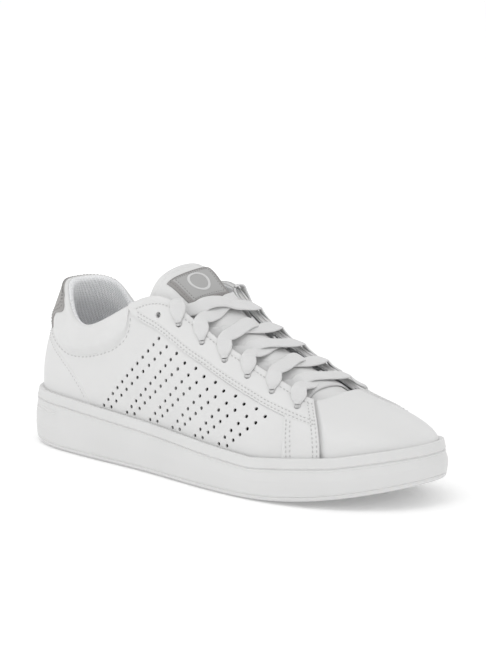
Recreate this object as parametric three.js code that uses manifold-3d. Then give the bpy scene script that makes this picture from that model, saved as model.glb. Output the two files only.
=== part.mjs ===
// Low court shoe, right foot: cupped rubber sole, stitched leather upper, padded collar, padded tongue and flat laces.
// Units are millimetres. +X points to the toe, +Y to the inner (medial) side, +Z up; Z = 0 is the ground.
import * as THREE from 'three';
import { mergeVertices } from 'three/addons/utils/BufferGeometryUtils.js';
import Module from 'manifold-3d';

const wasm = await Module();
wasm.setup();

// ---------------------------------------------------------------- driving dimensions
const GAP = 0.3;                 // clearance between touching pieces
const SHIFT = [0.22, 0.33, 0];   // puts the origin under the middle of the sole
const OVERLAY = [0.0, 1.1];      // eyestays, heel tab, forefoot straps: depth below the outer surface
const LEATHER = [1.4, 2.8];      // vamp, quarters, heel cover, collar panel
const COUNTER = [3.1, 4.6];      // heel counter
const PUFF = [3.1, 4.1];         // toe puff
const LINING_T = 0.8;            // lining thickness
const LINING_D = { plain: 3.1, counter: 4.9, puff: 4.4, collar: 8.6 };
const FOAM_D = [3.1, 8.3];       // collar foam
const SKIRT = 8.0;               // upper's edge below the rim of the cup
const RIM_WALL = 2.6;            // cup wall outside the upper at its rim
const GROOVE_DROP = 6.0;         // groove below the rim
const OUTSOLE_T = 7.5;           // outsole thickness under the foam
const BOARD_T = 1.5, SOCK_T = 4.0;
const EYELET_R = 2.4, EYELET_BACK = 11.5, EYELETS = 7;
const LACE_W = 8.8, LACE_T = 1.2, AGLET_L = 18, RUN_ON = .4;   // RUN_ON: how far the lace runs forward under the edge, as a share of the eyelet pitch
const TONGUE_PIVOT = [88, 0, 54];

// ---------------------------------------------------------------- outline of the sole on the ground, heel > outer side > toe > inner side
const OUTLINE = [[-149.9, 0], [-144.8, -18.9], [-129.9, -31.9], [-105, -38.2], [-70.1, -41.5], [-30.2, -44.5], [9.6, -50], [44.9, -53.3],
  [77.9, -51.4], [107.7, -42.3], [131.7, -26.6], [146, -8], [149.4, 10.1], [141.6, 28.5], [122.2, 41.4], [95, 49.2], [65, 52.6], [30, 47.1],
  [-5, 39], [-40, 34.5], [-75, 35], [-108, 36.5], [-131, 31], [-145, 18]];

// ribs of the upper: outline parameter, top edge x y z, arrival angle, start and end handle length, outward lean
const RIBS = [
  [0.00, -129.0, 0.0, 103.2, 74, .42, .30, .08], [0.95, -125.5, -12.5, 102.2, 76, .42, .30, .08],
  [1.80, -118.0, -21.0, 95.2, 80, .42, .30, .07], [2.60, -108.0, -26.8, 85.2, 82, .42, .30, .06],
  [3.30, -96.0, -30.0, 80.0, 84, .42, .30, .05], [3.85, -81.5, -32.3, 83.0, 84, .42, .32, .04],
  [4.35, -66.0, -33.2, 90.3, 82, .42, .34, .03], [4.80, -51.5, -32.4, 97.6, 80, .42, .34, .02],
  [5.10, -41.0, -31.2, 102.4, 76, .42, .34, .0], [5.40, -30.5, -30.0, 104.6, 70, .42, .34, .0],
  [5.68, -20.5, -28.6, 102.6, 64, .42, .34, .0], [5.95, -12.0, -26.9, 97.2, 58, .42, .34, .0],
  [6.30, -1.5, -25.6, 91.2, 52, .42, .34, .0], [6.75, 15.0, -24.8, 82.8, 48, .42, .34, .0],
  [7.20, 32.5, -24.2, 75.4, 44, .42, .34, .0], [7.65, 50.0, -23.6, 68.6, 40, .42, .34, .0],
  [8.15, 67.0, -23.0, 62.4, 36, .42, .34, .0], [8.75, 80.5, -22.0, 57.4, 32, .42, .36, .0],
  [9.50, 87.5, -15.5, 57.8, 26, .28, .36, .0], [10.5, 90.8, -7.5, 60.0, 22, .17, .36, .0],
  [11.5, 91.8, 0.5, 60.6, 21, .12, .38, .0], [12.5, 90.8, 8.5, 60.0, 22, .14, .36, .0],
  [13.5, 87.5, 16.0, 57.8, 26, .24, .36, .0], [14.35, 80.5, 22.2, 57.4, 32, .42, .36, .0],
  [15.05, 67.0, 23.3, 62.6, 36, .42, .34, .0], [15.65, 50.0, 24.0, 68.9, 40, .42, .34, .0],
  [16.20, 32.5, 24.6, 75.8, 44, .42, .34, .0], [16.75, 15.0, 25.4, 83.4, 48, .42, .34, .0],
  [17.25, -1.5, 26.8, 92.4, 52, .42, .34, .0], [17.65, -12.0, 28.8, 99.0, 58, .42, .34, .0],
  [17.98, -20.5, 30.4, 104.4, 64, .42, .34, .0], [18.30, -30.5, 31.4, 106.0, 70, .42, .34, .0],
  [18.65, -41.0, 31.6, 103.6, 76, .42, .34, .0], [19.02, -51.5, 31.4, 98.6, 80, .42, .34, .02],
  [19.55, -66.0, 31.0, 91.4, 82, .42, .34, .03], [20.15, -81.5, 30.6, 84.4, 84, .42, .32, .04],
  [20.80, -96.0, 29.8, 81.6, 84, .42, .30, .05], [21.50, -107.0, 29.4, 88.4, 82, .42, .30, .06],
  [22.25, -116.0, 25.2, 98.4, 80, .42, .30, .07], [23.10, -125.0, 14.5, 103.0, 76, .42, .30, .08]];
const NR = RIBS.length;           // 40, rib 20 is the middle of the toe
// height on each rib (0 at the sole, 1 at the top edge) of the collar seam and the eyestay seam
const SEAM = [[0, .55], [1.2, .548], [2.1, .538], [3.4, .538], [4.2, .582], [5, .612], [5.8, .64], [6.4, .70], [6.9, .76], [7.6, .79],
  [8.6, .746], [9.7, .665], [10.9, .64], [12.3, .63], [13.3, .615], [14.5, .592], [15.7, .545], [16.6, .515], [17.2, .47], [18.5, .50], [20, .55]];
const K_COLLAR = 6.9, K_FRONT = 17.22, K_STRAP = 16.05, K_HEEL = 4;

// ---------------------------------------------------------------- small maths
const lerp = (x, xs, ys) => { if (x <= xs[0]) return ys[0]; for (let i = 1; i < xs.length; i++) if (x <= xs[i]) return ys[i - 1] + (ys[i] - ys[i - 1]) * (x - xs[i - 1]) / (xs[i] - xs[i - 1]); return ys[ys.length - 1]; };
const add = (a, b, m = 1) => a.map((v, i) => v + b[i] * m);
const sub = (a, b) => a.map((v, i) => v - b[i]);
const len = a => Math.hypot(...a);
const unit = a => { const l = len(a) || 1; return a.map(v => v / l); };
const cross = (a, b) => [a[1] * b[2] - a[2] * b[1], a[2] * b[0] - a[0] * b[2], a[0] * b[1] - a[1] * b[0]];
// closed cubic B-spline through points
function control(p) {
  let c = p.map(q => q.slice()); const n = p.length;
  for (let r = 0; r < 60; r++) c = c.map((q, i) => q.map((v, j) => v + p[i][j] - (c[(i + n - 1) % n][j] + 4 * v + c[(i + 1) % n][j]) / 6));
  return c;
}
function spline(c, t) {
  const n = c.length; t = ((t % 1) + 1) % 1 * n; const i = Math.floor(t), u = t - i;
  const w = [(1 - u) ** 3 / 6, (3 * u ** 3 - 6 * u * u + 4) / 6, (-3 * u ** 3 + 3 * u * u + 3 * u + 1) / 6, u ** 3 / 6];
  return c[0].map((_, j) => w[0] * c[(i + n - 1) % n][j] + w[1] * c[i % n][j] + w[2] * c[(i + 1) % n][j] + w[3] * c[(i + 2) % n][j]);
}
const rimZ = x => lerp(x, [-150, -100, -20, 60, 110, 150], [34.7, 33.7, 29.4, 24.3, 29.3, 36.8]);
const groundZ = x => 14.58 * Math.min(Math.max((x - 50) / 100, 0), 1) ** 2 + 3 * Math.min(Math.max((-x - 110) / 40, 0), 1) ** 2;

// ---------------------------------------------------------------- surface of the upper
const cOut = control(OUTLINE);
const outline = t => spline(cOut, t / 24);
const P0 = [], P1 = [], P2 = [], P3 = [];
for (const [tf, ex, ey, ez, phi, a0, a1, lean] of RIBS) {
  const o = outline(tf), tg = unit(sub(outline(tf + 1e-3), outline(tf - 1e-3))), nin = [-tg[1], tg[0]];
  const f = [o[0] * .985 + nin[0] * RIM_WALL, o[1] * .97 + nin[1] * RIM_WALL]; const F = [f[0], f[1], rimZ(f[0]) - 1], E = [ex, ey, ez];
  let h = [ex - F[0], ey - F[1]]; const hl = len(h); h = h.map(v => v / Math.max(hl, 1e-6));
  const w = Math.min(hl / 18, 1); h = unit([h[0] * w + nin[0] * (1 - w), h[1] * w + nin[1] * (1 - w)]);
  const ch = len(sub(E, F)), d0 = unit([-h[0] * lean, -h[1] * lean, 1]), a = phi * Math.PI / 180;
  P0.push(F); P1.push(add(F, d0, a0 * ch)); P2.push(add(E, [h[0] * Math.cos(a), h[1] * Math.cos(a), Math.sin(a)], -a1 * ch)); P3.push(E);
}
const CP = [P0, P1, P2, P3].map(control);
function surf(k, s) {             // point of the outer surface
  const a = CP.map(c => spline(c, k / NR));
  if (s < 0) return [a[0][0], a[0][1], a[0][2] + s * SKIRT];
  const b = [(1 - s) ** 3, 3 * s * (1 - s) ** 2, 3 * s * s * (1 - s), s ** 3];
  return [0, 1, 2].map(j => b[0] * a[0][j] + b[1] * a[1][j] + b[2] * a[2][j] + b[3] * a[3][j]);
}
function normal(k, s) {           // outward normal
  const e = 0.02, s0 = Math.max(s, 0), s1 = Math.min(s0 + .01, 1), s2 = Math.max(s1 - .02, s < 0 ? 0 : 0);
  const dk = sub(surf(k + e, s0), surf(k - e, s0)); let ds = sub(surf(k, s1), surf(k, s2));
  if (s <= 0) ds = [0, 0, 1];
  return unit(cross(dk, ds)).map(v => v);
}
const sgn = (() => { const p = surf(10, .3), n = normal(10, .3); return n[1] < 0 ? 1 : -1; })();
const off = (k, s, d) => add(surf(k, s), normal(k, s), -d * sgn);
const seam = k => { k = ((k % NR) + NR) % NR; if (k > NR / 2) k = NR - k; return lerp(k, SEAM.map(v => v[0]), SEAM.map(v => v[1])); };

// ---------------------------------------------------------------- grid shared by every layer of the upper
const HALF = [0, .5, 1, 1.5, 2, 2.6, 3.2, K_HEEL, 5, 6, K_COLLAR, 7.8, 8.8, 9.7, 10.6, 11.6, 12.6, 13.6, 14.8, K_STRAP, K_FRONT, 17.9, 18.5, 19, 19.5, 20];
const KS = [...HALF, ...HALF.slice(1, -1).reverse().map(k => NR - k)];
const NK = KS.length, NS = 9, J_SEAM = 5, J_TOP = 8;
const rowS = (k, j) => { const L = seam(k); return [-1, 0, L * .25, L * .5, L * .75, L, L + (1 - L) / 3, L + (1 - L) * 2 / 3, 1][j]; };
const colOf = k => KS.findIndex(v => Math.abs(v - (((k % NR) + NR) % NR)) < 1e-6);

function toGeometry(pos, tri) {
  const g = new THREE.BufferGeometry();
  g.setAttribute('position', new THREE.BufferAttribute(new Float32Array(pos.flat()), 3)); g.setIndex(tri);
  return g;
}
function volume(pos, tri) { let v = 0; for (let i = 0; i < tri.length; i += 3) { const [a, b, c] = [pos[tri[i]], pos[tri[i + 1]], pos[tri[i + 2]]]; v += (a[0] * (b[1] * c[2] - b[2] * c[1]) - a[1] * (b[0] * c[2] - b[2] * c[0]) + a[2] * (b[0] * c[1] - b[1] * c[0])) / 6; } return v; }
function solid(pos, tri) { if (volume(pos, tri) < 0) for (let i = 0; i < tri.length; i += 3) [tri[i + 1], tri[i + 2]] = [tri[i + 2], tri[i + 1]]; return toGeometry(pos, tri); }

// one layer piece: cells [i, j] of the shared grid between two depths, its edges drawn in by the gap
function layer(cells, dOut, dIn, inset = GAP / 2) {
  const key = (i, j) => i * 100 + j, has = new Set(cells.map(([i, j]) => key(((i % NK) + NK) % NK, j)));
  const inCell = (i, j) => has.has(key(((i % NK) + NK) % NK, j));
  const pos = [], tri = [], id = new Map();
  const vert = (i, j, side) => {
    i = ((i % NK) + NK) % NK; const kk = key(i, j) * 2 + side; if (id.has(kk)) return id.get(kk);
    let di = 0, dj = 0; for (const a of [-1, 0]) for (const b of [-1, 0]) if (inCell(i + a, j + b)) { di += a + .5; dj += b + .5; }
    let k = KS[i], s = rowS(k, j); const base = s;
    if (Math.abs(di) > .1) k += Math.sign(di) * inset / len(sub(surf(k + .05, s), surf(k - .05, s))) * .1;
    if (Math.abs(dj) > .1 && j > 0) { const s1 = Math.min(Math.max(s, .05), .95); s += Math.sign(dj) * inset / len(sub(surf(k, s1 + .05), surf(k, s1 - .05))) * .1; }
    s = Math.min(s, 1); if (j >= 1 && base >= 0) s = Math.max(s, 0);
    pos.push(off(k, s, (side ? dIn : dOut)(i, j))); id.set(kk, pos.length - 1); return pos.length - 1;
  };
  const quad = (a, b, c, d) => tri.push(a, b, c, a, c, d);
  for (const [ci, j] of cells) {
    const i = ((ci % NK) + NK) % NK;
    quad(vert(i, j, 0), vert(i + 1, j, 0), vert(i + 1, j + 1, 0), vert(i, j + 1, 0));
    quad(vert(i, j, 1), vert(i, j + 1, 1), vert(i + 1, j + 1, 1), vert(i + 1, j, 1));
    if (!inCell(i, j - 1)) quad(vert(i, j, 0), vert(i, j, 1), vert(i + 1, j, 1), vert(i + 1, j, 0));
    if (!inCell(i, j + 1)) quad(vert(i, j + 1, 0), vert(i + 1, j + 1, 0), vert(i + 1, j + 1, 1), vert(i, j + 1, 1));
    if (!inCell(i - 1, j)) quad(vert(i, j, 0), vert(i, j + 1, 0), vert(i, j + 1, 1), vert(i, j, 1));
    if (!inCell(i + 1, j)) quad(vert(i + 1, j, 0), vert(i + 1, j, 1), vert(i + 1, j + 1, 1), vert(i + 1, j + 1, 0));
  }
  return solid(pos, tri);
}
const block = (k0, k1, j0, j1) => { const a = colOf(k0), b = colOf(k1), out = []; for (let i = a; i !== b; i = (i + 1) % NK) for (let j = j0; j < j1; j++) out.push([i, j]); return out; };

// ---------------------------------------------------------------- booleans
function toManifold(g) {
  const m = g.index ? g.clone() : g; m.deleteAttribute('normal'); m.deleteAttribute('uv'); const w = mergeVertices(m, 1e-4);
  return new wasm.Manifold(new wasm.Mesh({ numProp: 3, vertProperties: new Float32Array(w.attributes.position.array), triVerts: new Uint32Array(w.index.array) }));
}
function fromManifold(m) { const r = m.getMesh(), g = new THREE.BufferGeometry(); g.setAttribute('position', new THREE.BufferAttribute(new Float32Array(r.vertProperties), 3)); g.setIndex(new THREE.BufferAttribute(new Uint32Array(r.triVerts), 1)); return g; }

// ---------------------------------------------------------------- eyelets: points along the throat edge, set back on the eyestay
const EY_K = [8.95, 10.5, 12.13, 13.18, 14.22, 15.30, 16.42];
function eyelet(side, i) {        // side 0 outer, 1 inner
  const k = side ? NR - EY_K[i] : EY_K[i]; let s = 1, l = 0, p = surf(k, 1);
  while (l < EYELET_BACK) { s -= .004; const q = surf(k, s); l += len(sub(q, p)); p = q; }
  return { k, s, p, n: normal(k, s).map(v => v * sgn), e: surf(k, 1), en: normal(k, 1).map(v => v * sgn) };
}
const EY = [0, 1].map(sd => Array.from({ length: EYELETS }, (_, i) => eyelet(sd, i)));
function drill(g, side) {
  let m = toManifold(g);
  for (const e of EY[side]) {
    const c = new THREE.CylinderGeometry(EYELET_R, EYELET_R, 16, 12); c.applyQuaternion(new THREE.Quaternion().setFromUnitVectors(new THREE.Vector3(0, 1, 0), new THREE.Vector3(...e.n))); c.translate(...e.p);
    m = m.subtract(toManifold(c));
  }
  return fromManifold(m);
}

// ---------------------------------------------------------------- sole rings in plan
function plan(k, scale, inset) {  // rim curve of the cup scaled and drawn in
  const f = surf(k, 0), e = .02, a = surf(k + e, 0), b = surf(k - e, 0), t = unit([a[0] - b[0], a[1] - b[1]]), n = [-t[1], t[0]];
  const rim = [f[0] - n[0] * RIM_WALL, f[1] - n[1] * RIM_WALL]; return [rim[0] / .985 * scale[0] + n[0] * inset, rim[1] / .97 * scale[1] + n[1] * inset];
}
// closed body from a stack of rings, capped by ladders across the shoe
function rings(list, ks = KS) {
  const n = ks.length, pos = [], tri = [];
  for (const r of list) for (const k of ks) { const p = r(k); pos.push(p); }
  for (let r = 0; r + 1 < list.length; r++) for (let i = 0; i < n; i++) { const a = r * n + i, b = r * n + (i + 1) % n; tri.push(a, b, b + n, a, b + n, a + n); }
  const cap = (base, flip) => { const L = []; for (let i = 1; i < n / 2; i++) L.push([base + i, base + n - i]); const T = (a, b, c) => flip ? tri.push(a, c, b) : tri.push(a, b, c);
    T(base, L[0][1], L[0][0]); for (let i = 0; i + 1 < L.length; i++) { T(L[i][0], L[i][1], L[i + 1][1]); T(L[i][0], L[i + 1][1], L[i + 1][0]); } T(L[L.length - 1][0], L[L.length - 1][1], base + n / 2); };
  cap(0, false); cap((list.length - 1) * n, true);
  return solid(pos, tri);
}
const floorZ = x => groundZ(x) + OUTSOLE_T;
const boardZ = x => rimZ(x) - 1 - SKIRT - GAP;       // top of the insole board
const ring = (scale, inset, z) => k => { const p = plan(k, scale, inset); return [p[0], p[1], z(p[0])]; };
const cupsole = rings([
  ring([.985, .97], 2.2, floorZ),                     // cavity floor, wall and rim
  ring([.985, .97], 2.2, x => rimZ(x)), ring([.985, .97], .9, x => rimZ(x) + .05), ring([.985, .97], .15, x => rimZ(x) - .7),
  ring([.991, .982], .1, x => rimZ(x) - GROOVE_DROP + .6), ring([.991, .982], .9, x => rimZ(x) - GROOVE_DROP), ring([.992, .984], .1, x => rimZ(x) - GROOVE_DROP - .6),
  ring([1, 1], 0, x => groundZ(x) + (rimZ(x) - groundZ(x)) * .42), ring([.993, .985], .2, x => groundZ(x) + 3.2),
  ring([.99, .98], 1.0, x => groundZ(x) + 1), ring([.99, .98], 3.0, x => groundZ(x))]);
const foamTop = x => boardZ(x) - BOARD_T - GAP;
const midsole = rings([ring([.985, .97], 2.6, x => floorZ(x) + GAP), ring([.985, .97], 2.6, foamTop)]);
const board = rings([ring([.985, .97], 2.6, x => boardZ(x) - BOARD_T), ring([.985, .97], 2.6, boardZ)]);
const SOCK_IN = RIM_WALL + 4.9 + LINING_T + .5;
const sockliner = rings([ring([.985, .97], SOCK_IN, x => boardZ(x) + GAP), ring([.985, .97], SOCK_IN, x => boardZ(x) + GAP + SOCK_T - .8), ring([.985, .97], SOCK_IN + 1.2, x => boardZ(x) + GAP + SOCK_T)]);

// ---------------------------------------------------------------- upper layers
const c = v => () => v;
const depthLining = (i, j) => {
  let k = KS[i]; if (k > NR / 2) k = NR - k;
  if (k <= K_COLLAR + .01 && j >= J_SEAM) return LINING_D.collar;
  if (k <= 5.01 && j < J_SEAM) return LINING_D.counter;
  if (k >= 17.8 && j <= J_SEAM + 1) return LINING_D.puff;
  return LINING_D.plain;
};
const upperCells = {
  quarter_lateral: [...block(K_HEEL, K_FRONT, 0, J_SEAM), ...block(K_COLLAR, K_FRONT, J_SEAM, J_TOP)],
  quarter_medial: [...block(NR - K_FRONT, NR - K_HEEL, 0, J_SEAM), ...block(NR - K_FRONT, NR - K_COLLAR, J_SEAM, J_TOP)],
};
const K_LIN = 14.8;

// ---------------------------------------------------------------- tongue
// stations: x, crown height, half width, even fall to the edge, steep fall at the edge, tilt to the inner side
const TONGUE = [[88, 56.2, 12.5, 3, 2, 0], [80, 57.6, 17.0, 3, 3.8, 0], [65, 62.4, 20.4, 3.4, 6, 0], [50, 68.4, 20.8, 3.4, 7, 0], [32, 75.4, 21.2, 3.4, 7.8, 0], [15, 82.8, 21.4, 3, 9, 0.01], [-2, 92.0, 22.2, 2, 10, 0.03], [-18, 103.0, 24.0, 1.5, 12, 0.07], [-30, 112.2, 25.0, 1.5, 14, 0.11], [-39, 116.4, 23.8, 4, 9.5, 0.14], [-45, 116.8, 21.0, 5.5, 5, 0.16]];
const TY = 0.8;
const tx = (u, c) => lerp(u, TONGUE.map((_, i) => i), TONGUE.map(r => r[c]));
const cT = (u, c) => { const n = TONGUE.length - 1, i = Math.min(Math.floor(u), n - 1), f = u - i, g = j => TONGUE[Math.min(Math.max(j, 0), n)][c]; const a = g(i - 1), b = g(i), d = g(i + 1), e = g(i + 2);
  const m0 = i === 0 ? d - b : (d - a) / 2, m1 = i + 1 === n ? d - b : (e - b) / 2; return b * (2 * f ** 3 - 3 * f * f + 1) + m0 * (f ** 3 - 2 * f * f + f) + d * (-2 * f ** 3 + 3 * f * f) + m1 * (f ** 3 - f * f); };
const tongueP = (u, v) => { const w = cT(u, 2); return [cT(u, 0), TY + w * v, cT(u, 1) - cT(u, 3) * v * v - cT(u, 4) * v ** 6 + cT(u, 5) * w * v]; };
const tongueN = (u, v) => unit(cross(sub(tongueP(Math.max(u - .05, 0), v), tongueP(Math.min(u + .05, 10), v)), sub(tongueP(u, v - .02), tongueP(u, v + .02)))).map(x => x);
const tsgn = tongueN(5, 0)[2] > 0 ? 1 : -1;
const tOff = (u, v, d) => add(tongueP(u, v), tongueN(u, v), -d * tsgn);
const TUS = Array.from({ length: 15 }, (_, i) => i * 10 / 14), TVS = [-1, -.78, -.52, -.26, 0, .26, .52, .78, 1];
function tonguePatch(us, vs, d0, d1) {
  const n = us.length, m = vs.length, pos = [], tri = []; const at = (i, j, s) => (s * n + i) * m + j;
  for (const d of [d0, d1]) for (const u of us) for (const v of vs) pos.push(tOff(u, v, d(u, v)));
  const q = (a, b, e, f) => tri.push(a, b, e, a, e, f);
  for (let i = 0; i + 1 < n; i++) for (let j = 0; j + 1 < m; j++) { q(at(i, j, 0), at(i + 1, j, 0), at(i + 1, j + 1, 0), at(i, j + 1, 0)); q(at(i, j, 1), at(i, j + 1, 1), at(i + 1, j + 1, 1), at(i + 1, j, 1)); }
  for (let i = 0; i + 1 < n; i++) { q(at(i, 0, 0), at(i, 0, 1), at(i + 1, 0, 1), at(i + 1, 0, 0)); q(at(i, m - 1, 0), at(i + 1, m - 1, 0), at(i + 1, m - 1, 1), at(i, m - 1, 1)); }
  for (let j = 0; j + 1 < m; j++) { q(at(0, j, 0), at(0, j + 1, 0), at(0, j + 1, 1), at(0, j, 1)); q(at(n - 1, j, 0), at(n - 1, j, 1), at(n - 1, j + 1, 1), at(n - 1, j + 1, 0)); }
  return solid(pos, tri);
}
const padT = (u, v) => 1.5 + (u > .5 ? 3.2 : 1.2) * (1 - .75 * v * v);

// ---------------------------------------------------------------- lace: one flat cord through twelve eyelets
const tongueZ = (x, y) => { let a = 0, b = 10; for (let r = 0; r < 40; r++) { const m = (a + b) / 2; if (cT(m, 0) > x) a = m; else b = m; } const w = cT(a, 2), v = (y - TY) / w, q = Math.min(Math.abs(v), 1.12); return cT(a, 1) - cT(a, 3) * q * q - cT(a, 4) * q ** 6 + cT(a, 5) * w * v; };
const laceP = [];   // point, up, width, thickness
function put(p, up, w = LACE_W, t = LACE_T) { laceP.push({ p, up: unit(up), w, t }); }
// point near an eyelet: distance from the hole towards the edge, height above the leather
function near(e, dist, h) {
  const E = e.e, total = EYELET_BACK; let s = e.s + (1 - e.s) * Math.min(Math.max(dist / total, -.3), 1); const n = normal(e.k, Math.min(s, 1)).map(v => v * sgn);
  let p = add(surf(e.k, Math.min(s, 1)), n, h); if (dist > total) p = add(p, unit(sub(surf(e.k, 1), surf(e.k, .96))), dist - total); return [p, n];
}
const edgeDir = e => unit(sub(e.e, e.p));
function wrap(e) {                 // from the edge over the eyestay, down the hole and back under to the edge
  const T = EYELET_BACK, d = edgeDir(e), q = (dist, h, w, t, tilt = 0) => { const [p, n] = near(e, dist, h); put(p, add(n, d, tilt), w, t); };
  q(T + 2.2, 1.75, LACE_W - 1.4, LACE_T, .25); q(T - 2.6, 1.15, LACE_W, LACE_T); q(T - 6.2, 1.15, 6.6, 1.35); q(3.4, 1.35, 4.4, 1.6); q(1.35, 1.35, 3.2, 1.8, .7);
  q(0, -.8, 3.0, 1.8, 3); q(0, -2.7, 3.0, 1.8, 30); q(.8, -5.0, 3.2, 1.7, -3); q(3.6, -5.75, 5.0, 1.4, 0); q(T - 2.0, -5.7, 7.0, 1.2, 0);
}
function tuck(e) {                 // free end: from between tongue and lining up over the edge
  const T = EYELET_BACK, d = edgeDir(e), far = (s, h, dx, w = LACE_W, t = LACE_T) => { const n = normal(e.k, s).map(v => v * sgn); put(add(add(surf(e.k, s), n, h), [dx, 0, 0]), n, w, t); };
  far(.46, -8.0, 6, 3.2, 2.2); far(.54, -7.6, 4, 7.5); far(.64, -7.0, 2); far(.77, -6.2, 1); far(.90, -5.9, 0);
  const [p1, n1] = near(e, T + 3.0, -5.4), [p2, n2] = near(e, T + 4.8, -1.6); put(add(p1, [1.2, 0, 0]), add(n1, d, .5), 5.6); put(add(p2, [1.2, 0, 0]), add(n2, d, 2), 5.4);
}
function aglet(side) {             // stiff tip of one lace end, below the tucked end
  const e = EY[side][1], at = (s, h, dx) => add(add(surf(e.k, s), normal(e.k, s).map(v => v * sgn), h), [dx, 0, 0]);
  const a = at(.46, -8.0, 6), d = unit(sub(a, at(.50, -8.0, 5))), c = new THREE.CylinderGeometry(1.7, 1.7, AGLET_L, 12);
  c.applyQuaternion(new THREE.Quaternion().setFromUnitVectors(new THREE.Vector3(0, 1, 0), new THREE.Vector3(...d))); c.translate(...add(a, d, AGLET_L / 2 + 1.4)); return c;
}
function over(from, to, hi) {      // under one edge, over the tongue, down on to the other edge
  const side = EY[0].includes(from) ? 0 : 1, i = EY[side].indexOf(from), nx = EY[side][Math.min(i + 1, EYELETS - 1)], kf = from.k + (nx.k - from.k) * RUN_ON, a = off(kf, .965, 5.9), b = near(to, EYELET_BACK + 2.2, 1.75)[0], n = 8;
  const at = f => { const x = a[0] + (b[0] - a[0]) * f, y = a[1] + (b[1] - a[1]) * f, e = .6, gy = (tongueZ(x, y + e) - tongueZ(x, y - e)) / (2 * e), gx = (tongueZ(x + 2, TY) - tongueZ(x - 2, TY)) / 4, g = Math.hypot(gx, gy, 1);
    const lump = Math.min(Math.max((f - .12) / .2, 0), 1), h = 1.25 + (hi ? 1.9 : 0) * lump + (x < -6 ? 1.2 : 0) * Math.min(f / .12, 1); const rest = tongueZ(x, y) + h * Math.min(g, 1.7), taut = a[2] + (b[2] - a[2]) * f + (hi ? 1.6 : 0) * lump; const d = rest - taut, z = taut + (d + Math.sqrt(d * d + 1)) / 2, w = Math.min(Math.max((d + 2) / 4, .25), 1); return { p: [x, y, z], up: [-gx, -gy * w, 1] }; };
  const knee = at(.7);
  for (let i = 1; i < n; i++) { const f = i / n; if (f <= .7) { const o = at(f); put(o.p, o.up); } else { const u = (f - .7) / .3, p = [0, 1, 2].map(j => knee.p[j] + (b[j] - knee.p[j]) * u); p[2] += 1.2 * Math.sin(Math.PI * u) * .4; put(p, [knee.up[0], knee.up[1] * .6, 1]); } }
}
{
  const chainA = [[0, 1], [1, 2], [0, 3], [1, 4], [0, 5], [1, 6]], chainB = [[1, 1], [0, 2], [1, 3], [0, 4], [1, 5], [0, 6]];
  const half = (list, hs) => { tuck(EY[list[0][0]][list[0][1]]); list.forEach(([sd, i], n) => { wrap(EY[sd][i]); if (n + 1 < list.length) over(EY[sd][i], EY[list[n + 1][0]][list[n + 1][1]], hs[n]); }); };
  half(chainA, [1, 1, 1, 1, 1]); const first = laceP.splice(0); half(chainB, [0, 0, 0, 0, 0]); const second = laceP.splice(0).reverse();
  const A = first[first.length - 1].p, B = second[0].p, link = [];
  for (let i = 1; i < 8; i++) { const f = i / 8, y = A[1] + (B[1] - A[1]) * f, x = A[0] + (B[0] - A[0]) * f, gy = (tongueZ(x, y + .6) - tongueZ(x, y - .6)) / 1.2; link.push({ p: [x, y, tongueZ(x, y) + 1.2 * Math.min(Math.hypot(gy, 1.06), 1.7)], up: unit([.4, -gy, 1]), w: 6.5, t: 1.2 }); }
  laceP.push(...first, ...link, ...second);
}
function sweep(list) {
  // even frames along the route: the side direction is square to the run and to the ribbon's face
  const n = list.length, pos = [], tri = [], S = 8;
  for (let i = 0; i < n; i++) {
    const t = unit(sub(list[Math.min(i + 1, n - 1)].p, list[Math.max(i - 1, 0)].p)); const side = unit(cross(t, list[i].up)), up = unit(cross(side, t)); const { w, t: th, p } = list[i];
    const sec = [[-.5, -.22], [-.38, -.5], [.38, -.5], [.5, -.22], [.5, .22], [.38, .5], [-.38, .5], [-.5, .22]];
    for (const [a, b] of sec) pos.push(add(add(p, side, a * w), up, b * th));
  }
  for (let i = 0; i + 1 < n; i++) for (let j = 0; j < S; j++) { const a = i * S + j, b = i * S + (j + 1) % S; tri.push(a, b, b + S, a, b + S, a + S); }
  for (let j = 1; j + 1 < S; j++) { tri.push(0, j + 1, j); const e = (n - 1) * S; tri.push(e, e + j, e + j + 1); }
  return solid(pos, tri);
}

// ---------------------------------------------------------------- assembly
const white = { color: 0xf2f2f1, roughness: .48, metalness: 0 }, grey = { color: 0xb4b2af, roughness: .6, metalness: 0 }, mesh = { color: 0xe2e3e4, roughness: .9, metalness: 0 };
const root = new THREE.Group();
const piece = (name, geometry, look) => { const m = new THREE.Mesh(geometry, new THREE.MeshStandardMaterial(look)); m.name = name; root.add(m); return m; };
const clear = { color: 0xdcdcdc, roughness: .3, metalness: 0 };
const rubber = { color: 0xe9e9e8, roughness: .55, metalness: 0 }, foam = { color: 0xd9d6cc, roughness: .95, metalness: 0 }, boardLook = { color: 0xcfc7b4, roughness: .9, metalness: 0 };
piece('cupsole', cupsole, rubber);
piece('midsole_foam', midsole, foam);
piece('insole_board', board, boardLook);
piece('sockliner', sockliner, mesh);
piece('vamp', layer([...block(K_FRONT, NR - K_FRONT, 0, J_TOP)], c(LEATHER[0]), c(LEATHER[1])), white);
piece('quarter_lateral', drill(layer(upperCells.quarter_lateral, c(LEATHER[0]), c(LEATHER[1])), 0), white);
piece('quarter_medial', drill(layer(upperCells.quarter_medial, c(LEATHER[0]), c(LEATHER[1])), 1), white);
piece('heel_cover', layer(block(NR - K_HEEL, K_HEEL, 0, J_SEAM), c(LEATHER[0]), c(LEATHER[1])), white);
piece('collar_panel', layer(block(NR - K_COLLAR, K_COLLAR, J_SEAM, J_TOP), c(LEATHER[0]), c(LEATHER[1])), white);
piece('eyestay_lateral', drill(layer(block(K_COLLAR, K_FRONT, J_SEAM, J_TOP), c(OVERLAY[0]), c(OVERLAY[1])), 0), white);
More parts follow.
